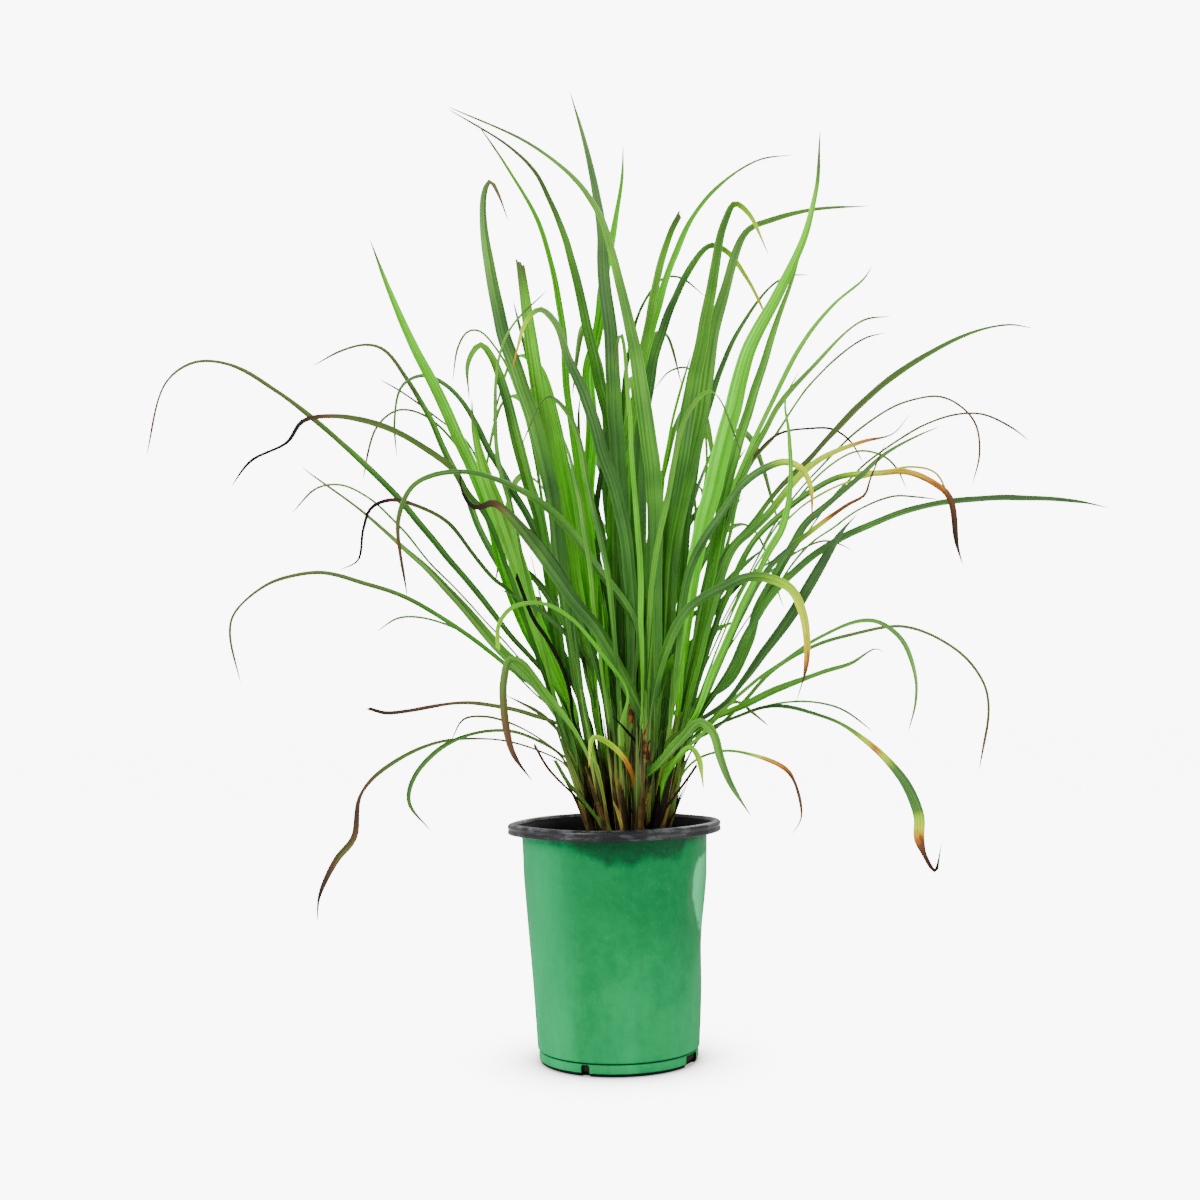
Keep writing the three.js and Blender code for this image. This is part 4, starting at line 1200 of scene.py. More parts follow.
class StemSkin:
    """A stout stem wrapped in its own leaf sheaths, dark and papery at its foot."""

    SIDES = 18
    RINGS = 34
    # Thickness of one sheath (mm).
    LAYER = 0.24
    # Heights of the lowest sheath's foot and of the lowest ligule (mm).
    SHEATH_FOOT = 158.0
    LOWEST_LIGULE = 171.0
    # Lengths of the dead sheaths that stand off the outer stems, in turn (mm).
    TONGUES = (34, 46, 28, 52, 38, 60)

    def __init__(self, stem: Stem) -> None:
        """Starts the draws of a stem."""
        self.stem = stem
        self.rng = np.random.default_rng(700 + stem.number)
        self.paleness = STEM_PALENESS.get(stem.number, float(self.rng.choice(MIXED_PALENESS)))
        self.leaves: list[Bearing] = []

    def core(self) -> Skin:
        """The innermost rolled leaf: round below, drawn in and closed above.

        Its radius r(height) is swung round the axis with r * (1 + 0.12 cos 2(turn - t0)).
        """
        stem = self.stem
        heights = np.linspace(stem.clump.foot, stem.top, self.RINGS)
        radius = stem.radius(heights) - self.LAYER * (len(self.leaves) + 1)
        radius = np.maximum(radius, 1.5) * lerp(1.0, 0.5, smooth(stem.top - 70, stem.top, heights))
        turn = np.linspace(0, math.tau, self.SIDES, endpoint=False)
        oval = 1 + 0.12 * np.cos(2 * (turn - self.rng.uniform(0, math.pi)))
        axis = np.array([stem.at(height) for height in heights])
        reach = radius[:, None] * oval[None]
        points = axis[:, None] + around(reach, turn, 0.0)
        across = np.broadcast_to(turn / math.tau, reach.shape)
        along = np.broadcast_to(heights[:, None] / 100.0, reach.shape)
        drawn_out = points.reshape(-1, 3) * [1.0, 1.0, 0.12]
        streaks = lattice_noise(drawn_out, 2.2, stem.number).reshape(reach.shape)
        shown = heights[:, None] + 14 * streaks + self.rng.uniform(-18, 14)
        return Skin(
            points.reshape(-1, 3) * MM,
            ring_faces(self.RINGS, self.SIDES),
            np.stack([across, along], -1).reshape(-1, 2),
            foot_colours(shown, self.paleness).reshape(-1, 3),
            (0.6 * (1 - smooth(176, 214, shown))).reshape(-1),
            Layer.SHEATH.value,
        )

    def dressed_leaves(self) -> list[Skin]:
        """Every leaf of the stem, the lowest outermost, each ligule above the one before."""
        stem, rng = self.stem, self.rng
        order = sorted(self.leaves, key=lambda one: (one.leave, one.outer[1][2] - one.outer[0][2]))
        skins = []
        lowest = None
        for rank, bearing in enumerate(order):
            if bearing.leave > stem.top - 2 * TOP_MARGIN:
                drop = 11.0 * (len(order) - 1 - rank) + rng.uniform(12, 34)
            else:
                drop = rng.uniform(0, 4)
            ligule = max(bearing.leave - drop, self.LOWEST_LIGULE + 4 * rank)
            lowest = ligule if lowest is None else lowest
            foot = self.SHEATH_FOOT
            if rank:
                foot = max(min(lowest - 26.0, ligule - 22.0), foot)
            reach = float(stem.radius(ligule)) + 0.3 - self.LAYER * rank
            skins.append(LeafSkin(bearing, stem, Sheath(foot, ligule, reach), self.paleness).skin())
        return skins

    def seed(self) -> int:
        """A seed for one ribbon, from the stem's own draws."""
        return int(self.rng.integers(1 << 30))

    def strip(
        self, points: Sequence[Array], width: float, shades: Sequence[float], curl: float,
        inner: Array,
    ) -> Skin:
        """A papery strip of dead sheath.

        Args:
            points: places along it (mm).
            width: its widest width (mm).
            shades: husk shades along it, 0 straw to 1 black.
            curl: its curl across (1/mm).
            inner: what its hollow side faces.

        Returns:
            The skin.
        """
        line, share = spine(points, 7)
        seed = self.seed()
        half = 0.5 * width * np.minimum(1, 0.7 + 1.2 * share)
        half = half * (1 - 0.75 * smooth(0.35, 1.0, share))
        half = half * (1 + 0.18 * lattice_noise(line, 4.0, seed % 999))
        curl = curl * (1 - 0.7 * smooth(0.4, 1.0, share))
        form = Form(ripple=0.25, keel=0.08, body=0.13)
        ribbon = Ribbon(line, inner, half, curl, math.radians(14), form, seed)
        shade = np.interp(share, np.linspace(0, 1, len(shades)), shades)
        shade = np.clip(shade + 0.18 * lattice_noise(line, 5.0, seed % 997), 0, 1)
        return ribbon.skin(HUSK.at(shade), 0.4 + 0.5 * shade, Layer.SHEATH.value, FRAYED)

    def husk(self, outer: bool) -> Skin:
        """A dead sheath at the foot of the stem: clasping below, peeling and splayed above."""
        stem, rng = self.stem, self.rng
        turn = math.atan2(stem.y, stem.x) + rng.uniform(-2.1, 2.1)
        out = level_way(turn)
        foot = rng.uniform(157, 178)
        length = rng.uniform(10, 66) if outer else rng.uniform(20, 84)
        peel = rng.uniform(0.2, 7.0) * (1.0 if outer else 0.5)
        across = rng.uniform(-7, 7) * np.array([-out[1], out[0], 0.0])
        points = []
        for share in (0, 0.35, 0.7, 1.0):
            height = min(foot + share * length, stem.top)
            reach = float(stem.radius(height)) + 0.5 + peel * share**2.4
            points.append(stem.at(height) + out * reach + across * share**2)
        shade = float(rng.choice([0.05, 0.35, 0.6, 0.75, 0.85, 1.0]))
        shades = (min(shade + 0.4, 1), min(shade + 0.1, 1), shade)
        return self.strip(points, rng.uniform(2.6, 8.0), shades, 0.2, -out)

    def husks(self, outer: bool) -> list[Skin]:
        """The dead sheaths round the foot of the stem, more on an outer and on a dark one."""
        count = int((8 if outer else 5) * (1 - 0.6 * self.paleness))
        return [self.husk(outer) for _ in range(count)]

    def inner_strip(self) -> Skin:
        """An old narrow blade, dark green to brown, that stands between this stem and the next."""
        stem, rng = self.stem, self.rng
        out = level_way(rng.uniform(0, math.tau))
        foot, top, away = rng.uniform(160, 190), rng.uniform(205, stem.top - 14), rng.uniform(2, 10)
        line, share = spine([
            stem.at(lerp(foot, top, part)) + out * (2.6 + away * part**1.3)
            for part in (0, 0.3, 0.65, 1.0)
        ], 8)
        height = line[:, 2]
        half = rng.uniform(1.8, 3.8) * (1 - 0.8 * smooth(0.45, 1.0, share))
        form = Form(ripple=0.12, keel=0.2, body=0.18)
        ribbon = Ribbon(line, -out, half, 0.12 * (1 - share), math.radians(30), form, self.seed())
        green = GREEN.at(rng.uniform(0, 0.45))
        low = foot_colours(height - 8, rng.uniform() ** 2)
        tint = lerp(low, green, smooth(205, 245, height)[:, None])
        aging = rng.choice([0.0, 0.0, 0.0, 0.3, 0.95]) * smooth(0.2, 0.9, share)
        dryness = 0.6 * (1 - smooth(180, 220, height))
        return ribbon.skin(aged(tint, aging, False), dryness, Layer.LEAF.value)

    def spear(self) -> Skin:
        """The youngest leaf: narrow, folded shut, standing straight out of the stem's top."""
        stem, rng = self.stem, self.rng
        rise = rng.uniform(50, 105)
        aside = np.array([*rng.uniform(-5, 5, 2), 0.0])
        line, share = spine([
            stem.at(stem.top - 34), stem.at(stem.top - 8),
            stem.at(stem.top + 0.45 * rise) + 0.4 * aside, stem.at(stem.top + rise) + aside,
        ], 9)
        half = rng.uniform(2.2, 3.2) * np.clip(1.25 * (1 - share), 0.05, 1) ** 0.7
        seed = self.seed()
        inner = [*rng.uniform(-1, 1, 2), 0.0]
        ribbon = Ribbon(line, inner, half, 0 * share, math.radians(48), Form(ripple=0.03), seed)
        tint = GREEN.at(rng.uniform(0.15, 0.85) + 0 * share)
        return ribbon.skin(tint, 0 * share, Layer.LEAF.value)

    def scrap(self, low: float, high: float) -> Skin:
        """A rusty scrap of sheath that curls off the stem's front between two heights (mm)."""
        stem = self.stem
        front = np.array([0.2, -1.0, 0.0])
        points = []
        for part, away, aside in (
            (0, 1.3, 0.0), (0.3, 2.2, 0.9), (0.55, 1.8, -0.9), (0.8, 3.0, 0.4), (1.0, 4.2, 1.8)
        ):
            height = lerp(low, high, part)
            reach = float(stem.radius(min(height, stem.top))) + away
            points.append(stem.at(height) + front * reach + [aside, 0.0, 0.0])
        line, share = spine(points, 7)
        half = 1.9 * (1 - 0.85 * smooth(0.4, 1.0, share))
        half = half * (1 + 0.4 * lattice_noise(line, 2.5, stem.number))
        form = Form(ripple=0.3, keel=0.05, body=0.1)
        curl = 0.16 * (1 - share)
        ribbon = Ribbon(line, -front, half, curl, math.radians(26), form, 40 + stem.number)
        patches = smooth(-0.25, 0.25, lattice_noise(line, 2.6, 60 + stem.number))[:, None]
        return ribbon.skin(lerp(*RUST, patches), 0.8 + 0 * share, Layer.SHEATH.value, FRAYED)

    def tongue(self, order: int) -> Skin:
        """The dead sheath that stands off an outer stem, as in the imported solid."""
        stem, out = self.stem, self.stem.outward
        length = self.TONGUES[order % len(self.TONGUES)]
        places = ((165, 3.4), (178, 4.6), (178 + 0.55 * length, 5.0 + 0.05 * length),
                  (178 + length, 6 + 0.12 * length))
        shade = self.rng.uniform(0.35, 0.9)
        points = [stem.at(height) + away * out for height, away in places]
        return self.strip(points, 6.2, (1.0, shade, shade, shade * 0.8), 0.22, -out)

    def scraps(self, stems: Sequence[Stem]) -> list[Skin]:
        """The scraps for which this is the nearest of the front stems."""
        front = [stem for stem in stems if stem.y < -FRONT]
        made = []
        for x, low, high in SCRAPS:
            nearest = min(front, key=lambda stem: abs(stem.at(low)[0] - x) + 0.1 * stem.y)
            if nearest.number == self.stem.number:
                made.append(self.scrap(low, high))
        return made

    def skins(self, tongue: int | None) -> list[Skin]:
        """All that belongs to the stem; tongue is its dead sheath's number, None for none."""
        outer = tongue is not None
        made = [self.core(), *self.dressed_leaves(), self.spear()]
        made += [self.inner_strip() for _ in range(4)]
        made += self.husks(outer)
        if outer:
            made.append(self.tongue(tongue))
        return made


# --- Shader maths ---

class Value:
    """A shader value that adds, multiplies and blends like a number."""

    def __init__(self, shade: "Shade", socket: NodeSocket) -> None:
        """Wraps an output of a node."""
        self.shade, self.socket = shade, socket

    def _with(self, operation: str, *others: "Value | float") -> "Value":
        """A Math node on this value and others."""
        return self.shade.node("ShaderNodeMath", (self, *others), operation=operation)

    def __add__(self, other: "Value | float") -> "Value":
        """Sum."""
        return self._with("ADD", other)

    def __sub__(self, other: "Value | float") -> "Value":
        """Difference."""
        return self._with("SUBTRACT", other)

    def __mul__(self, other: "Value | float") -> "Value":
        """Product."""
        return self._with("MULTIPLY", other)

    def __pow__(self, other: "Value | float") -> "Value":
        """Power."""
        return self._with("POWER", other)

    __radd__ = __add__
    __rmul__ = __mul__

    def __rsub__(self, other: float) -> "Value":
        """Difference, from a number."""
        return self.shade.node("ShaderNodeMath", (other, self), operation="SUBTRACT")

    def abs(self) -> "Value":
        """Its size without its sign."""
        return self._with("ABSOLUTE")

    def step(self, low: float, high: float) -> "Value":
        """Smoothly 0 below low and 1 above high."""
        inputs = (self, low, high, 0.0, 1.0)
        return self.shade.node("ShaderNodeMapRange", inputs, interpolation_type="SMOOTHSTEP")


Input = Value | float | Sequence[float] | None


class Shade:
    """The node tree of a material or of the world: every node is made by `node`."""

    def __init__(self, owner: Material | World) -> None:
        """Empties the owner's node tree.

        Args:
            owner: a new material or world.
        """
        self.owner = owner
        owner.use_nodes = True
        self.tree = owner.node_tree
        self.tree.nodes.clear()

    def node(
        self, kind: str, inputs: Sequence[Input] | dict[int | str, Input] = (), out: int | str = 0,
        **settings: str,
    ) -> Value | None:
        """Makes a node, sets its settings and feeds its inputs.

        Args:
            kind: Blender's node type.
            inputs: in the inputs' order or by their numbers or names; None skips one.
            out: the output to return.
            settings: properties of the node.

        Returns:
            The chosen output, or None where there is none.
        """
        made = self.tree.nodes.new(kind)
        for key, setting in settings.items():
            setattr(made, key, setting)
        for slot, given in inputs.items() if isinstance(inputs, dict) else enumerate(inputs):
            self.feed(made.inputs[slot], given)
        return Value(self, made.outputs[out]) if len(made.outputs) else None

    def feed(self, slot: NodeSocket, given: Input) -> None:
        """Links a value to an input or sets its number."""
        if given is None:
            return
        if isinstance(given, Value):
            self.tree.links.new(given.socket, slot)
        elif isinstance(given, tuple) and slot.type == "RGBA":
            slot.default_value = (*given, 1.0)
        else:
            slot.default_value = given

    def attribute(self, name: str, out: str = "Fac") -> Value:
        """A point attribute of the mesh."""
        return self.node("ShaderNodeAttribute", out=out, attribute_name=name)

    def place(self, out: str = "Object") -> Value:
        """Object or UV coordinates."""
        return self.node("ShaderNodeTexCoord", out=out)

    def parts(self, vector: Value) -> tuple[Value, Value, Value]:
        """A vector's three numbers."""
        first = self.node("ShaderNodeSeparateXYZ", (vector,))
        return tuple(Value(self, socket) for socket in first.socket.node.outputs)

    def noise(
        self, vector: Value, scale: float | tuple[float, float, float], detail: float = 3.0,
        rough: float = 0.55,
    ) -> Value:
        """Noise from 0 to 1.

        Args:
            vector: the coordinates.
            scale: how fine it is, or a number for each axis.
            detail: how many finer layers it has.
            rough: how strong they are.

        Returns:
            The noise.
        """
        if isinstance(scale, tuple):
            vector = self.node("ShaderNodeVectorMath", (vector, scale), operation="MULTIPLY")
            scale = 1.0
        inputs = {"Vector": vector, "Scale": scale, "Detail": detail, "Roughness": rough}
        return self.node("ShaderNodeTexNoise", inputs, out="Fac")

    def mix(
        self, share: Value | float, low: Value | Colour, high: Value | Colour, blend: str = "MIX"
    ) -> Value:
        """Two colours mixed by a share."""
        inputs = {0: share, 6: low, 7: high}
        return self.node("ShaderNodeMix", inputs, out=2, data_type="RGBA", blend_type=blend)

    def times(self, colour: Value, factor: Colour) -> Value:
        """A colour multiplied band by band."""
        return self.mix(1.0, colour, factor, "MULTIPLY")

    def bump(self, height: Value, distance: float, strength: float) -> Value:
        """A normal bent by a height, whose full range is `distance` metres."""
        inputs = {"Strength": strength, "Distance": distance, "Height": height}
        return self.node("ShaderNodeBump", inputs)

    def surface(
        self, colour: Value, roughness: Value, normal: Value, specular: float
    ) -> Material:
        """Ends the tree in a Principled shader.

        Args:
            colour: base colour.
            roughness: 0 mirror to 1 dull.
            normal: as from `bump`.
            specular: how strongly it mirrors, 0.5 for plain plastic.

        Returns:
            The material.
        """
        shader = self.node("ShaderNodeBsdfPrincipled", {
            "Base Color": colour, "Roughness": roughness, "Normal": normal,
            "Specular IOR Level": specular,
        })
        self.node("ShaderNodeOutputMaterial", (shader,))
        return self.owner


# --- Finishes ---


@dataclass(frozen=True)
class LeafFinish:
    """Grass leaf: parallel veins in streaks, a pale midrib, blotches where it dries.

    darker, lighter and edge multiply its own colour; edge is painted light along the margins.
    """

    darker: Colour = (0.46, 0.52, 0.44)
    lighter: Colour = (1.6, 1.6, 1.3)
    # Painted light along the margins.
    edge: Colour = (1.9, 1.6, 1.7)
    rib: Colour = (0.5, 0.9, 0.08)
    blotch: Colour = (0.09, 0.045, 0.025)
    specular: float = 0.16

    def material(self) -> Material:
        """The material, on UVs (across, and along in 100 mm), tint and dry."""
        shade = Shade(bpy.data.materials.new("leaf"))
        uv = shade.place("UV")
        across, along, _ = shade.parts(uv)
        dry = shade.attribute("dry")
        base = shade.attribute("tint", "Color")
        broad = shade.noise(uv, (7.5, 0.5, 1.0), 1.0)
        veins = shade.noise(uv, (30.0, 0.7, 1.0), 2.0, 0.6)
        hairs = shade.noise(uv, (90.0, 1.2, 1.0), 1.0)
        cloud = shade.noise(shade.place(), 26.0)
        spots = shade.noise(uv, (9.0, 6.0, 1.0), 4.0, 0.7)
        aside = (across - 0.5).abs()
        rib = 1.0 - aside.step(0.02, 0.07)
        low = 1.0 - along.step(0.6, 2.6)
        darker = shade.times(base, self.darker)
        lighter = shade.mix(0.7, base, shade.times(base, self.lighter))
        colour = shade.mix((broad * 0.55 + veins * 0.45).step(0.3, 0.7), darker, lighter)
        colour = shade.mix(cloud.step(0.35, 0.7) * 0.3, colour, darker)
        colour = shade.mix(dry.step(0.08, 0.3) * 0.6, colour, base)
        rib_share = rib * (low * 0.5 + 0.16) * (1.0 - dry.step(0.3, 0.7))
        colour = shade.mix(rib_share, colour, shade.mix(low * 0.2 + 0.22, base, self.rib))
        # Painted light: a paler band along both margins, less where the leaf is dry.
        edge = aside.step(0.42, 0.49) * (1.0 - dry.step(0.4, 0.8)) * 0.5
        colour = shade.mix(edge, colour, shade.times(base, self.edge))
        drying = dry.step(0.12, 0.4) * (1.0 - dry.step(0.7, 0.9))
        blotches = (spots + dry * 0.5).step(0.74, 0.86) * drying
        colour = shade.mix(blotches * 0.75, colour, self.blotch)
        relief = shade.bump(veins * 0.6 + hairs * 0.3 + rib * 0.4, 0.00025, 0.8)
        return shade.surface(colour, veins * 0.16 + dry * 0.25 + 0.36, relief, self.specular)


@dataclass(frozen=True)
class SheathFinish:
    """Stem and dead sheath: long fibres, paler ridges and dark stains near the soil.

    darker and lighter multiply its own colour.
    """

    darker: Colour = (0.4, 0.36, 0.32)
    lighter: Colour = (2.0, 1.9, 1.6)
    stain: Colour = (0.012, 0.009, 0.007)
    specular: float = 0.15

    def material(self) -> Material:
        """The material, on UVs (across, and along in 100 mm), tint and dry."""
        shade = Shade(bpy.data.materials.new("sheath"))
        dry = shade.attribute("dry")
        base = shade.attribute("tint", "Color")
        fibres = shade.noise(shade.place("UV"), (26.0, 1.6, 1.0), 3.0, 0.6)
        stain = shade.noise(shade.place(), (150.0, 150.0, 48.0), 4.0, 0.62)
        lighter = shade.mix(0.5, base, shade.times(base, self.lighter))
        colour = shade.mix(fibres.step(0.38, 0.64), shade.times(base, self.darker), lighter)
        colour = shade.mix(stain.step(0.5, 0.66) * (dry * 0.6 + 0.16), colour, self.stain)
        relief = shade.bump(fibres + stain * 0.5, 0.0005, 0.9)
        return shade.surface(colour, fibres * 0.2 + dry * 0.2 + 0.42, relief, self.specular)


@dataclass(frozen=True)
class GreenPlastic:
    """The pot's outside: painted shade darkens it towards the rim and in streaks under the lip.

    It is dusty low down and has a painted sheen down its left side; deep and bright are its
    mottle. The pressed fold has a painted sheen, fold_sheen, whose middle is at facet_at (x and
    z, m) and which ends across and up at facet_fall (1/m).
    """

    deep: Colour = (0.001, 0.270, 0.065)
    bright: Colour = (0.001, 0.400, 0.103)
    # Painted shade towards the rim.
    upper: Colour = (0.001, 0.165, 0.042)
    # Dusty low down; down the left side it is a painted sheen.
    pale_wash: Colour = (0.002, 0.640, 0.205)
    # Painted shade under the rim's lip.
    rim_shade: Colour = (0.002, 0.045, 0.016)
    # Painted sheen on the pressed fold.
    fold_sheen: Colour = (0.100, 0.980, 0.360)
    facet_at: tuple[float, float] = (0.070, 0.126)
    facet_fall: tuple[float, float] = (74.0, 30.0)
    grit: Colour = (0.04, 0.62, 0.24)
    speck: Colour = (0.50, 0.85, 0.60)
    specular: float = 0.14

    def material(self) -> Material:
        """The material."""
        shade = Shade(bpy.data.materials.new("pot_green_plastic"))
        where = shade.place()
        x, y, z = shade.parts(where)
        broad = shade.noise(where, 15.0, 4.0, 0.6)
        fine = shade.noise(where, 130.0, 4.0, 0.65)
        smear = shade.noise(where, (60.0, 60.0, 11.0), 3.0)
        runs = shade.noise(where, (46.0, 46.0, 30.0), 4.0, 0.6)
        grit = shade.noise(where, 420.0, 2.0, 0.5).step(0.6, 0.75)
        specks = shade.noise(where, 300.0, 2.0, 0.5).step(0.76, 0.8)
        low = 1.0 - z.step(0.008, 0.13)
        # The left side, which gets a painted sheen.
        left = 1.0 - x.step(-0.064, -0.022)
        colour = shade.mix((broad * 0.7 + fine * 0.3).step(0.36, 0.64), self.deep, self.bright)
        # Painted shade: the wall turns darker towards the rim.
        colour = shade.mix((z + broad * 0.05).step(0.085, 0.17) * 0.5, colour, self.upper)
        # Dusty low down, plus a painted sheen down the left side.
        pale_wash = low * (smear.step(0.3, 0.7) * 0.3 + 0.14) + left * (smear * 0.6 + 0.4)
        colour = shade.mix(pale_wash * 0.8, colour, self.pale_wash)
        # Painted shade in streaks just under the rim's lip.
        rim_shade = (z + runs * 0.034 - (x - 0.012).abs() * 0.3).step(0.164, 0.174)
        colour = shade.mix(rim_shade * (fine * 0.8 + 0.4) * 0.9, colour, self.rim_shade)
        # Painted sheen on the front of the pressed fold.
        away = [((at - middle) * fall) ** 2.0
                for at, middle, fall in zip((x, z), self.facet_at, self.facet_fall)]
        fold_sheen = 1.0 - (away[0] + away[1] + (runs * 1.3 + fine * 0.3)).step(1.5, 1.75)
        front = 1.0 - y.step(-0.030, -0.006)
        colour = shade.mix(fold_sheen * front * (smear * 0.5 + 0.52), colour, self.fold_sheen)
        colour = shade.mix(grit * 0.15, colour, self.grit)
        colour = shade.mix(specks * low * 0.7, colour, self.speck)
        relief = shade.bump(broad * 0.8 + fine * 0.2, 0.0012, 0.6)
        return shade.surface(colour, fine * 0.16 + pale_wash * 0.15 + 0.33, relief, self.specular)


@dataclass(frozen=True)
class BlackPlastic:
    """The rolled rim: glossy, clouded, scuffed grey, with a painted highlight along its top edge.
    """

    dark: Colour = (0.006, 0.006, 0.008)
    pale: Colour = (0.020, 0.022, 0.026)
    scuffs_and_highlight: Colour = (0.20, 0.21, 0.23)
    specular: float = 0.45

    def material(self) -> Material:
        """The material."""
        shade = Shade(bpy.data.materials.new("pot_black_plastic"))
        where = shade.place()
        _, _, z = shade.parts(where)
        scuff = shade.noise(where, (70.0, 70.0, 240.0), 5.0, 0.7)
        cloud = shade.noise(where, 30.0)
        # Painted highlight along the rim's top edge, broken up where the scuff noise is low.
        edge = z.step(0.1778, 0.1796)
        colour = shade.mix(cloud.step(0.35, 0.7), self.dark, self.pale)
        # Grey scuffs all over, plus the painted highlight along the top edge.
        scuffs_and_highlight = scuff.step(0.5, 0.66) * 0.34 + edge * scuff.step(0.4, 0.6) * 0.5
        colour = shade.mix(scuffs_and_highlight, colour, self.scuffs_and_highlight)
        relief = shade.bump(scuff * 0.4 + cloud, 0.0016, 0.7)
        return shade.surface(colour, scuff * 0.35 + 0.12, relief, self.specular)


@dataclass(frozen=True)
class ShadedInsidePlastic:
    """Pot inside and underside: dull black, dusty from the soil, darker as painted shade."""

    # Painted shade: darker than the rim's black, though it is the same plastic.
    clean: Colour = (0.003, 0.003, 0.004)
    dusty: Colour = (0.012, 0.010, 0.009)
    specular: float = 0.12

    def material(self) -> Material:
        """The material."""
        shade = Shade(bpy.data.materials.new("pot_inside_plastic"))
        pale_wash = shade.noise(shade.place(), 60.0, 4.0, 0.6)
        colour = shade.mix(pale_wash.step(0.4, 0.75), self.clean, self.dusty)
        return shade.surface(colour, pale_wash * 0.2 + 0.5, shade.bump(pale_wash, 0.0008, 0.5), self.specular)


@dataclass(frozen=True)
class PottingMix:
    """Soil: dark crumbs with paler fibres of bark."""

    dark: Colour = (0.010, 0.007, 0.005)
    pale: Colour = (0.060, 0.038, 0.024)
    bark: Colour = (0.120, 0.070, 0.038)
    specular: float = 0.2

    def material(self) -> Material:
        """The material."""
        shade = Shade(bpy.data.materials.new("potting_mix"))
        where = shade.place()
        crumb = shade.noise(where, 420.0, 5.0, 0.7)
        patch = shade.noise(where, 90.0)
        colour = shade.mix(crumb.step(0.35, 0.7), self.dark, self.pale)
        colour = shade.mix(patch.step(0.58, 0.7) * 0.6, colour, self.bark)
        relief = shade.bump(crumb, 0.0012, 0.9)
        return shade.surface(colour, crumb * 0.1 + 0.86, relief, self.specular)


# --- Pot and soil ---


class Wall(Enum):
    """Which layer of the pot a stretch of its outline belongs to."""

    GREEN = 0
    RIM = 1
    INSIDE = 2


@dataclass(frozen=True)
class Dent:
    """A place where the pot's wall is pressed in, or out where the depth is below 0.

    Its middle is at a turn from +X (radians) and a height (mm); a folded one has straight flanks.
    """

    turn: float
    wide: float
    middle: float
    tall: float
    depth: float
    folded: bool = False

    def pressing(self, turn: Number, height: Number) -> Array:
        """How far it presses the wall in (mm): depth * exp(-r^2), or depth * (1 - r) where folded,
        with r^2 = (a/w)^2 + (h/t)^2 in turn and height."""
        away = (turn - self.turn + math.pi) % math.tau - math.pi
        square = (away / self.wide) ** 2 + ((height - self.middle) / self.tall) ** 2
        if self.folded:
            return self.depth * np.clip(1.06 - np.sqrt(square + 0.004), 0, None)
        return self.depth * np.exp(-square)


# The last six round dents bend the mouth out of round, with an angular corner at its left.
DENTS = (
    Dent(-0.06, 0.26, 92.0, 30.0, 2.2), Dent(-0.62, 0.16, 98.0, 26.0, 0.6),
    Dent(3.0, 0.30, 60.0, 40.0, 0.8), Dent(-1.9, 0.25, 120.0, 40.0, 0.6),
    Dent(-1.3, 0.3, 60.0, 30.0, 0.5), Dent(1.6, 0.35, 90.0, 50.0, 1.2),
    Dent(2.4, 0.2, 140.0, 20.0, 1.0), Dent(-3.10, 0.16, 184.0, 18.0, -1.1),
    Dent(-2.55, 0.34, 184.0, 22.0, 1.9), Dent(2.62, 0.34, 184.0, 22.0, 1.5),
    Dent(-0.10, 0.22, 184.0, 18.0, -0.5), Dent(-0.75, 0.36, 184.0, 22.0, 1.3),
    Dent(0.7, 0.4, 184.0, 22.0, 1.2), Dent(-0.46, 0.24, 127.0, 27.0, 3.2, True),
)


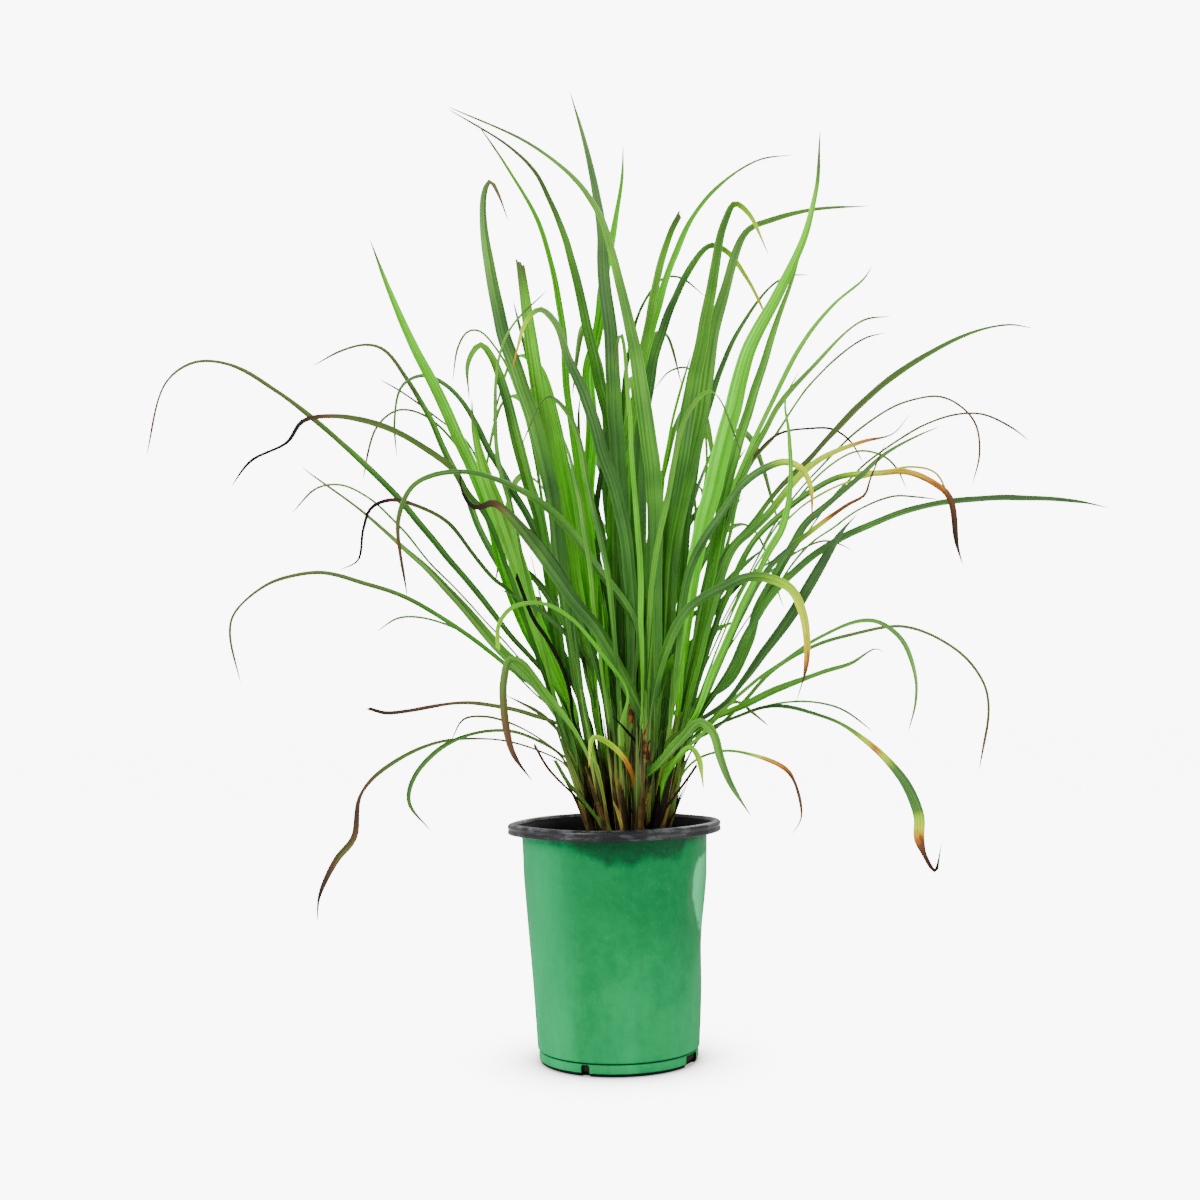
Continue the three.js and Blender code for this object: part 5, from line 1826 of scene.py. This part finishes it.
@dataclass(frozen=True)
class Pot:
    """The co-moulded pot: a closed outline turned about its axis, pressed in here and there (mm).

    rim, wall_top, wall_foot and foot are outer radii, and skirt is the height of the rim's lower
    edge. Drains are headings from the front (degrees) and widths; half their depth is inside.
    """

    height: float = 180.0
    rim: float = 82.0
    wall_top: float = 71.2
    wall_foot: float = 62.1
    foot: float = 61.0
    wall: float = 1.4
    floor: float = 3.0
    skirt: float = 171.8
    drains: tuple[tuple[float, float], ...] = (
        (-24.0, 6.5), (64.0, 19.0), (156.0, 6.5), (244.0, 19.0),
    )
    drain_depth: float = 9.0
    drain_top: float = 8.4
    sides: int = 240
    dents: tuple[Dent, ...] = DENTS

    def pressed(self, turn: Number, height: Number) -> Array:
        """How far the wall is pressed in (mm) at a turn from +X and a height."""
        return sum(dent.pressing(turn, height) for dent in self.dents)

    def outline(self) -> list[tuple[float, float, Wall]]:
        """Radius, height (mm) and layer from the middle below, over the rim, to the floor."""
        foot, low, top, rim, high = self.foot, self.wall_foot, self.wall_top, self.rim, self.height
        inner, skirt = top - self.wall, self.skirt
        shares = np.linspace(0.0, 1.0, 33)
        wall = [(lerp(low, top - 0.5, at), lerp(11.4, 140.0, at)) for at in shares[1:]]
        lining = [
            (lerp(low, top - 0.5, at) - self.wall, lerp(11.5, 140.0, at)) for at in shares[::-1]
        ]
        stretches = (
            (Wall.INSIDE, (0.0, 0.0), (20.0, 0.0), (40.0, 0.0), (54.0, 0.0), (foot - 1.8, 0.0),
             (foot - 1.2, 0.4), (foot - 1.0, 2.0)),
            (Wall.GREEN, (foot - 0.8, 2.3), (foot - 0.2, 2.6), (foot, 3.2), (foot, 8.0),
             (foot - 0.3, 8.6)),
            (Wall.INSIDE, (foot - 1.0, 8.9)),
            (Wall.GREEN, (foot - 1.0, 9.6), (foot + 0.3, 10.0), (low - 0.2, 10.5), (low, 11.4),
             *wall, (top - 0.4, 146.0), (top - 0.3, 152.0), (top - 0.1, 160.0), (top, 168.0),
             (top + 1.2, 171.5), (74.0, 175.4)),
            (Wall.RIM, (76.4, high - 2.4), (rim - 1.9, high - 2.4), (rim - self.wall, skirt + 0.4),
             (rim - 0.9, skirt), (rim - 0.25, skirt + 0.4), (rim, skirt + 1.6),
             (rim - 0.5, skirt + 3.0), (rim - 0.6, high - 4.0), (rim - 0.1, high - 3.0),
             (rim - 0.1, high - 2.2), (rim - 0.6, high - 1.2), (rim - 1.6, high - 0.5),
             (79.4, high - 0.1), (78.2, high), (77.2, high - 0.3), (76.4, high - 1.0)),
            (Wall.INSIDE, (75.6, high - 2.4), (74.0, 175.6), (inner + 0.8, 171.8),
             (inner, 168.0), (inner - 0.1, 160.0), (inner - 0.3, 152.0), (inner - 0.4, 146.0),
             *lining, (foot - 1.6, self.floor), (40.0, self.floor), (20.0, self.floor),
             (0.0, self.floor)),
        )
        return [(*point, layer) for layer, *points in stretches for point in points]

    def lifted(self, turn: Array, height: Array) -> Array:
        """How far the rim is lifted (mm): a slow wave, highest at the back."""
        wave = 0.6 + 0.9 * np.sin(turn) + 0.25 * np.cos(3 * turn + 1.0) + 0.15 * np.cos(5 * turn)
        return wave * smooth(150.0, 178.0, height)

    def build(self) -> Object:
        """The pot as one object, with its drains cut through the foot band."""
        outline, sides = self.outline(), self.sides
        rings = np.array([[radius, height] for radius, height, _ in outline[1:-1]])
        turn = np.linspace(0, math.tau, sides, endpoint=False)[None]
        radius, height = rings[:, :1], rings[:, 1:]
        reach = radius - self.pressed(turn, height) * smooth(30.0, 60.0, radius)
        points = around(reach, turn, height + self.lifted(turn, height)).reshape(-1, 3)
        faces = ring_faces(len(rings), sides, closed=False)
        layers = [layer.value for _, _, layer in outline[1:-2] for _ in range(sides)]
        first, last = len(points), len(points) + 1
        points = np.vstack([points, [0, 0, 0], [0, 0, self.floor]])
        top = (len(rings) - 1) * sides
        for side in range(sides):
            after = (side + 1) % sides
            faces += [[first, after, side], [last, top + side, top + after]]
            layers += [Wall.INSIDE.value] * 2
        mesh = bpy.data.meshes.new("pot_skin")
        mesh.from_pydata((points * MM).tolist(), [], faces)
        for finish in (GreenPlastic(), BlackPlastic(), ShadedInsidePlastic()):
            mesh.materials.append(finish.material())
        mesh.polygons.foreach_set("material_index", layers)
        made = link("pot_skin", mesh)
        self.cut_drains(made)
        return made

    def cut_drains(self, pot: Object) -> None:
        """Cuts the drains with an exact boolean and smooths what is left by angle."""
        cutters = [self.cutter(heading, width) for heading, width in self.drains]
        for cutter in cutters:
            cut = pot.modifiers.new("drain", "BOOLEAN")
            cut.operation, cut.solver, cut.object = "DIFFERENCE", "EXACT", cutter
        depsgraph = bpy.context.evaluated_depsgraph_get()
        mesh = bpy.data.meshes.new_from_object(pot.evaluated_get(depsgraph))
        pot.modifiers.clear()
        pot.data = mesh
        for cutter in cutters:
            bpy.data.objects.remove(cutter)
        mesh.polygons.foreach_set("use_smooth", [True] * len(mesh.polygons))
        mesh.set_sharp_from_angle(angle=POT_SHARP)
        LOG.info("%s: %d faces", pot.name, len(mesh.polygons))

    def cutter(self, heading: float, width: float) -> Object:
        """A block with rounded upper corners that stands in the foot band.

        Args:
            heading: its heading from the front (degrees).
            width: its width (mm).

        Returns:
            The block.
        """
        half, top = width / 2, self.drain_top
        corner = min(1.6, half * 0.6)
        arc = [(half - corner + corner * math.cos(turn), top - corner + corner * math.sin(turn))
               for turn in np.linspace(0, math.pi / 2, 5)]
        profile = [(half, -4.0), *arc, *[(-x, z) for x, z in reversed(arc)], (-half, -4.0)]
        ends = (-self.foot - self.drain_depth / 2, -self.foot + self.drain_depth / 2)
        points = np.array([(x, y, z) for y in ends for x, z in profile])
        count = len(profile)
        faces = [list(range(count)), list(range(2 * count - 1, count - 1, -1))]
        faces += [[count + i, count + (i + 1) % count, (i + 1) % count, i] for i in range(count)]
        mesh = bpy.data.meshes.new("drain")
        mesh.from_pydata((points * MM).tolist(), [], faces)
        mesh.transform(Matrix.Rotation(math.radians(heading), 4, "Z"))
        for _ in Wall:
            mesh.materials.append(None)
        mesh.polygons.foreach_set("material_index", [Wall.INSIDE.value] * len(mesh.polygons))
        return link("drain", mesh)


@dataclass(frozen=True)
class Soil:
    """Loose potting mix: a crumbly mound with chips of bark lying on it (mm).

    edge and middle are heights at the wall and round the stems, reach is its radius at the top,
    and chip is half the largest chip's length, width and thickness.
    """

    pot: Pot
    clump: Clump
    edge: float = 157.0
    middle: float = 161.0
    reach: float = 69.0
    rings: int = 74
    sides: int = 200
    chips: int = 900
    chip: tuple[float, float, float] = (3.0, 1.4, 0.7)

    def level(self, x: Array, y: Array) -> Array:
        """Height (mm): the mound, plus crumbs from two scales of noise."""
        reaches = (0, self.clump.radius + 12, self.reach + 0.3)
        mound = np.interp(np.hypot(x, y), reaches, (self.middle, self.middle, self.edge))
        place = np.stack([x.ravel(), y.ravel(), 0 * x.ravel()], axis=1)
        crumbs = 0.9 * lattice_noise(place, 7.0, 3) + 0.6 * lattice_noise(place, 2.6, 5)
        return mound - 1.2 + crumbs.reshape(x.shape)

    def surface(self) -> Skin:
        """The soil's body: the mound above and the sides that follow the pot's inside."""
        turn = np.linspace(0, math.tau, self.sides, endpoint=False)[None]
        share = (np.linspace(0.02, 1, self.rings) ** 0.8)[:, None]
        top = around(share * (self.reach - self.pot.pressed(turn, self.edge)), turn, 0.0)
        top[..., 2] = self.level(top[..., 0], top[..., 1])
        heights = (self.pot.floor + 0.4, 12.0, 40.0, 68.0, 84.0, 98.0, 112.0, 126.0, 140.0)
        heights = np.array(heights)[:, None]
        inside = np.interp(heights, (3.0, 12.0, 140.0), (58.8, 60.2, 68.8))
        walls = around(inside - self.pot.pressed(turn, heights), turn, heights)
        rings = np.vstack([walls, top[::-1]])
        return plain_skin(rings.reshape(-1, 3), ring_faces(len(rings), self.sides))

    def bark(self) -> Skin:
        """Bark chips: squashed, knocked-about octahedra lying on the surface."""
        rng = np.random.default_rng(11)
        corners = np.array([way for axis in np.eye(3) for way in (axis, -axis)])
        waist = (0, 2, 1, 3)
        sides = [[waist[i], waist[(i + 1) % 4], 4] for i in range(4)]
        sides += [[waist[(i + 1) % 4], waist[i], 5] for i in range(4)]
        points, faces = [], []
        for number in range(self.chips):
            away = 66.5 * math.sqrt(rng.uniform())
            x, y, _ = away * level_way(rng.uniform(0, math.tau))
            size = rng.uniform(0.5, 1.0) ** 2 * np.array(self.chip)
            spin = Matrix.Rotation(rng.uniform(0, math.tau), 3, "Z")
            spin = spin @ Matrix.Rotation(rng.uniform(-0.5, 0.5), 3, "X")
            shape = corners * size * rng.uniform(0.6, 1.2, (6, 1))
            height = float(self.level(np.array([x]), np.array([y]))[0]) + 0.25
            points.append(shape @ np.array(spin).T + [x, y, height])
            faces += [[6 * number + corner for corner in side] for side in sides]
        return plain_skin(np.vstack(points), faces)

    def build(self) -> Object:
        """The soil as one object."""
        return make_object("soil_skin", [self.surface(), self.bark()], [PottingMix().material()])


# --- Scene ---


@dataclass(frozen=True)
class Viewer:
    """The camera at EYE, turned right, up and about its sight line (degrees).

    The focal length and the frame are in pixels, and the sensor is in mm.
    """

    yaw: float = -0.38
    pitch: float = 4.07
    roll: float = -1.12
    focal: float = 1479.0
    frame: float = 1200.0
    sensor: float = 36.0

    def axes(self) -> Array:
        """Columns: its right, up and backward directions."""
        yaw, pitch, roll = (math.radians(angle) for angle in (self.yaw, self.pitch, self.roll))
        forward = np.array([
            math.sin(yaw) * math.cos(pitch), math.cos(yaw) * math.cos(pitch), math.sin(pitch)
        ])
        right = np.array([math.cos(yaw), -math.sin(yaw), 0.0])
        up = np.cross(right, forward)
        return np.stack([
            math.cos(roll) * right + math.sin(roll) * up,
            -math.sin(roll) * right + math.cos(roll) * up,
            -forward,
        ], axis=1)

    def add(self) -> None:
        """Puts the camera in the scene."""
        data = bpy.data.cameras.new("camera")
        data.sensor_width = self.sensor
        data.lens = self.focal / self.frame * self.sensor
        camera = link("camera", data)
        turn = Matrix(self.axes().tolist()).to_4x4()
        camera.matrix_world = Matrix.Translation(Vector(EYE * MM)) @ turn
        bpy.context.scene.camera = camera


@dataclass(frozen=True)
class Lamp:
    """A square area light at a place (m), aimed at the middle of the plant."""

    name: str
    place: tuple[float, float, float]
    size: float
    power: float

    # The middle of the plant (m).
    AIM = (0.0, 0.0, 0.38)

    def add(self) -> None:
        """Puts the light in the scene."""
        data = bpy.data.lights.new(self.name, "AREA")
        data.size, data.energy = self.size, self.power
        light = link(self.name, data)
        light.location = self.place
        aim = Vector(self.AIM) - light.location
        light.rotation_euler = aim.to_track_quat("-Z", "Y").to_euler()


@dataclass(frozen=True)
class Studio:
    """A plain pale floor, a white surround and soft lights (m).

    floor_share of the floor's look is glow, shadow_reach is how far from the plant its painted
    contact shadow darkens the glow, reach is half its side, and below is how far it lies under
    the pot.
    """

    surround_light: float = 0.55
    surround_look: float = 9.0
    floor_glow: float = 14.2
    floor_share: float = 0.6
    shadow_reach: float = 0.11
    reach: float = 12.0
    below: float = 0.0004
    lamps: tuple[Lamp, ...] = (
        Lamp("key", (-1.3, -1.6, 1.5), 1.1, 38.0),
        Lamp("fill", (1.7, -0.9, 0.9), 1.2, 12.0),
        Lamp("back", (0.4, 1.6, 1.5), 1.2, 14.0),
    )

    def floor_paint(self) -> Material:
        """Pale paint that stays nearly white to the eye, with a painted shadow round what stands on
        it.
        """
        shade = Shade(bpy.data.materials.new("floor"))
        cloud = shade.noise(shade.place(), 0.8, 1.0)
        pale = shade.mix(cloud, (0.92, 0.92, 0.92), (0.94, 0.94, 0.94))
        paint = shade.node("ShaderNodeBsdfDiffuse", (pale, 0.5))
        # Painted contact shadow: the glow dims where things stand close by.
        near = shade.node("ShaderNodeAmbientOcclusion", (None, self.shadow_reach), out="AO")
        clear = (near.step(0.35, 0.92) * 0.9 + 0.1) ** 1.5
        bright = shade.mix(clear, (0.02, 0.02, 0.02), (1.0, 1.0, 1.0))
        glow = shade.node("ShaderNodeEmission", (bright, self.floor_glow))
        seen = shade.node("ShaderNodeLightPath", out="Is Camera Ray")
        both = shade.node("ShaderNodeMixShader", (seen * self.floor_share, paint, glow))
        shade.node("ShaderNodeOutputMaterial", (both,))
        return shade.owner

    def add_floor(self) -> None:
        """Lays the floor."""
        mesh = bpy.data.meshes.new("floor")
        reach = self.reach
        corners = [(-reach, -reach, 0), (reach, -reach, 0), (reach, reach, 0), (-reach, reach, 0)]
        mesh.from_pydata(corners, [], [[0, 1, 2, 3]])
        mesh.materials.append(self.floor_paint())
        floor = link("floor", mesh)
        floor.location.z = -self.below

    def add_surround(self) -> None:
        """Puts a white surround behind the plant that lights softly and looks bright."""
        shade = Shade(bpy.data.worlds.new("studio"))
        light, look = (
            shade.node("ShaderNodeBackground", ((1.0, 1.0, 1.0), strength))
            for strength in (self.surround_light, self.surround_look)
        )
        seen = shade.node("ShaderNodeLightPath", out="Is Camera Ray")
        both = shade.node("ShaderNodeMixShader", (seen, light, look))
        shade.node("ShaderNodeOutputWorld", (both,))
        bpy.context.scene.world = shade.owner

    def build(self) -> None:
        """Puts everything round the plant."""
        self.add_floor()
        self.add_surround()
        for lamp in self.lamps:
            lamp.add()


@dataclass(frozen=True)
class Plant:
    """The leafy stems: where they stand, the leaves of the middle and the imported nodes."""

    clump: Clump
    filling: Filling
    nodes: dict[str, Object]

    # First seeds of the drawn and of the arching leaves.
    LEAF_SEED = 100
    ARCH_SEED = 300

    def bearings(self, stems: list[Stem]) -> list[tuple[Stem, Bearing] | None]:
        """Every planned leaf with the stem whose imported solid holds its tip, or None."""
        placer = Placer(stems, self.nodes)
        made = []
        for order, plan in enumerate((*LEAVES, *self.filling.leaves(self.clump))):
            found = placer.leaf(plan)
            made.append(found and (found[0], Bearing(
                plan.points(*found), plan.blade, None, self.LEAF_SEED + order
            )))
        for order, arch in enumerate(ARCHES):
            found = placer.arch(arch)
            made.append(found and (found[0], Bearing(
                arch.points(*found), arch.blade(order), arch.facing(), self.ARCH_SEED + order
            )))
        return made

    def build(self) -> None:
        """Makes every leafy stem with the leaves that it bears."""
        stems = self.clump.stems()
        makers = [StemSkin(stem) for stem in stems]
        bearings = self.bearings(stems)
        for stem, bearing in filter(None, bearings):
            makers[stem.number - 1].leaves.append(bearing)
        LOG.info("leaves with no tip in the solids: %d", bearings.count(None))
        materials = (LeafFinish().material(), SheathFinish().material())
        tongues = 0
        for stem, maker in zip(stems, makers):
            skins = maker.skins(tongues if stem.is_outer else None) + maker.scraps(stems)
            tongues += stem.is_outer
            piece = make_object(f"lemongrass_stem_{stem.number:02d}", skins, materials)
            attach(piece, "root")
            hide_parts(stem.node)


def main() -> None:
    """Builds the dressed plant."""
    logging.basicConfig(level=logging.INFO, format="%(message)s")
    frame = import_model()
    Viewer().add()
    Studio().build()
    clump = Clump()
    Plant(clump, Filling(), frame["nodes"]).build()
    pot = Pot()
    pot_piece = pot.build()
    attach(pot_piece, "root")
    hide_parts("pot")
    soil_piece = Soil(pot, clump).build()
    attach(soil_piece, "root")
    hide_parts("soil")


if __name__ == "__main__":
    main()
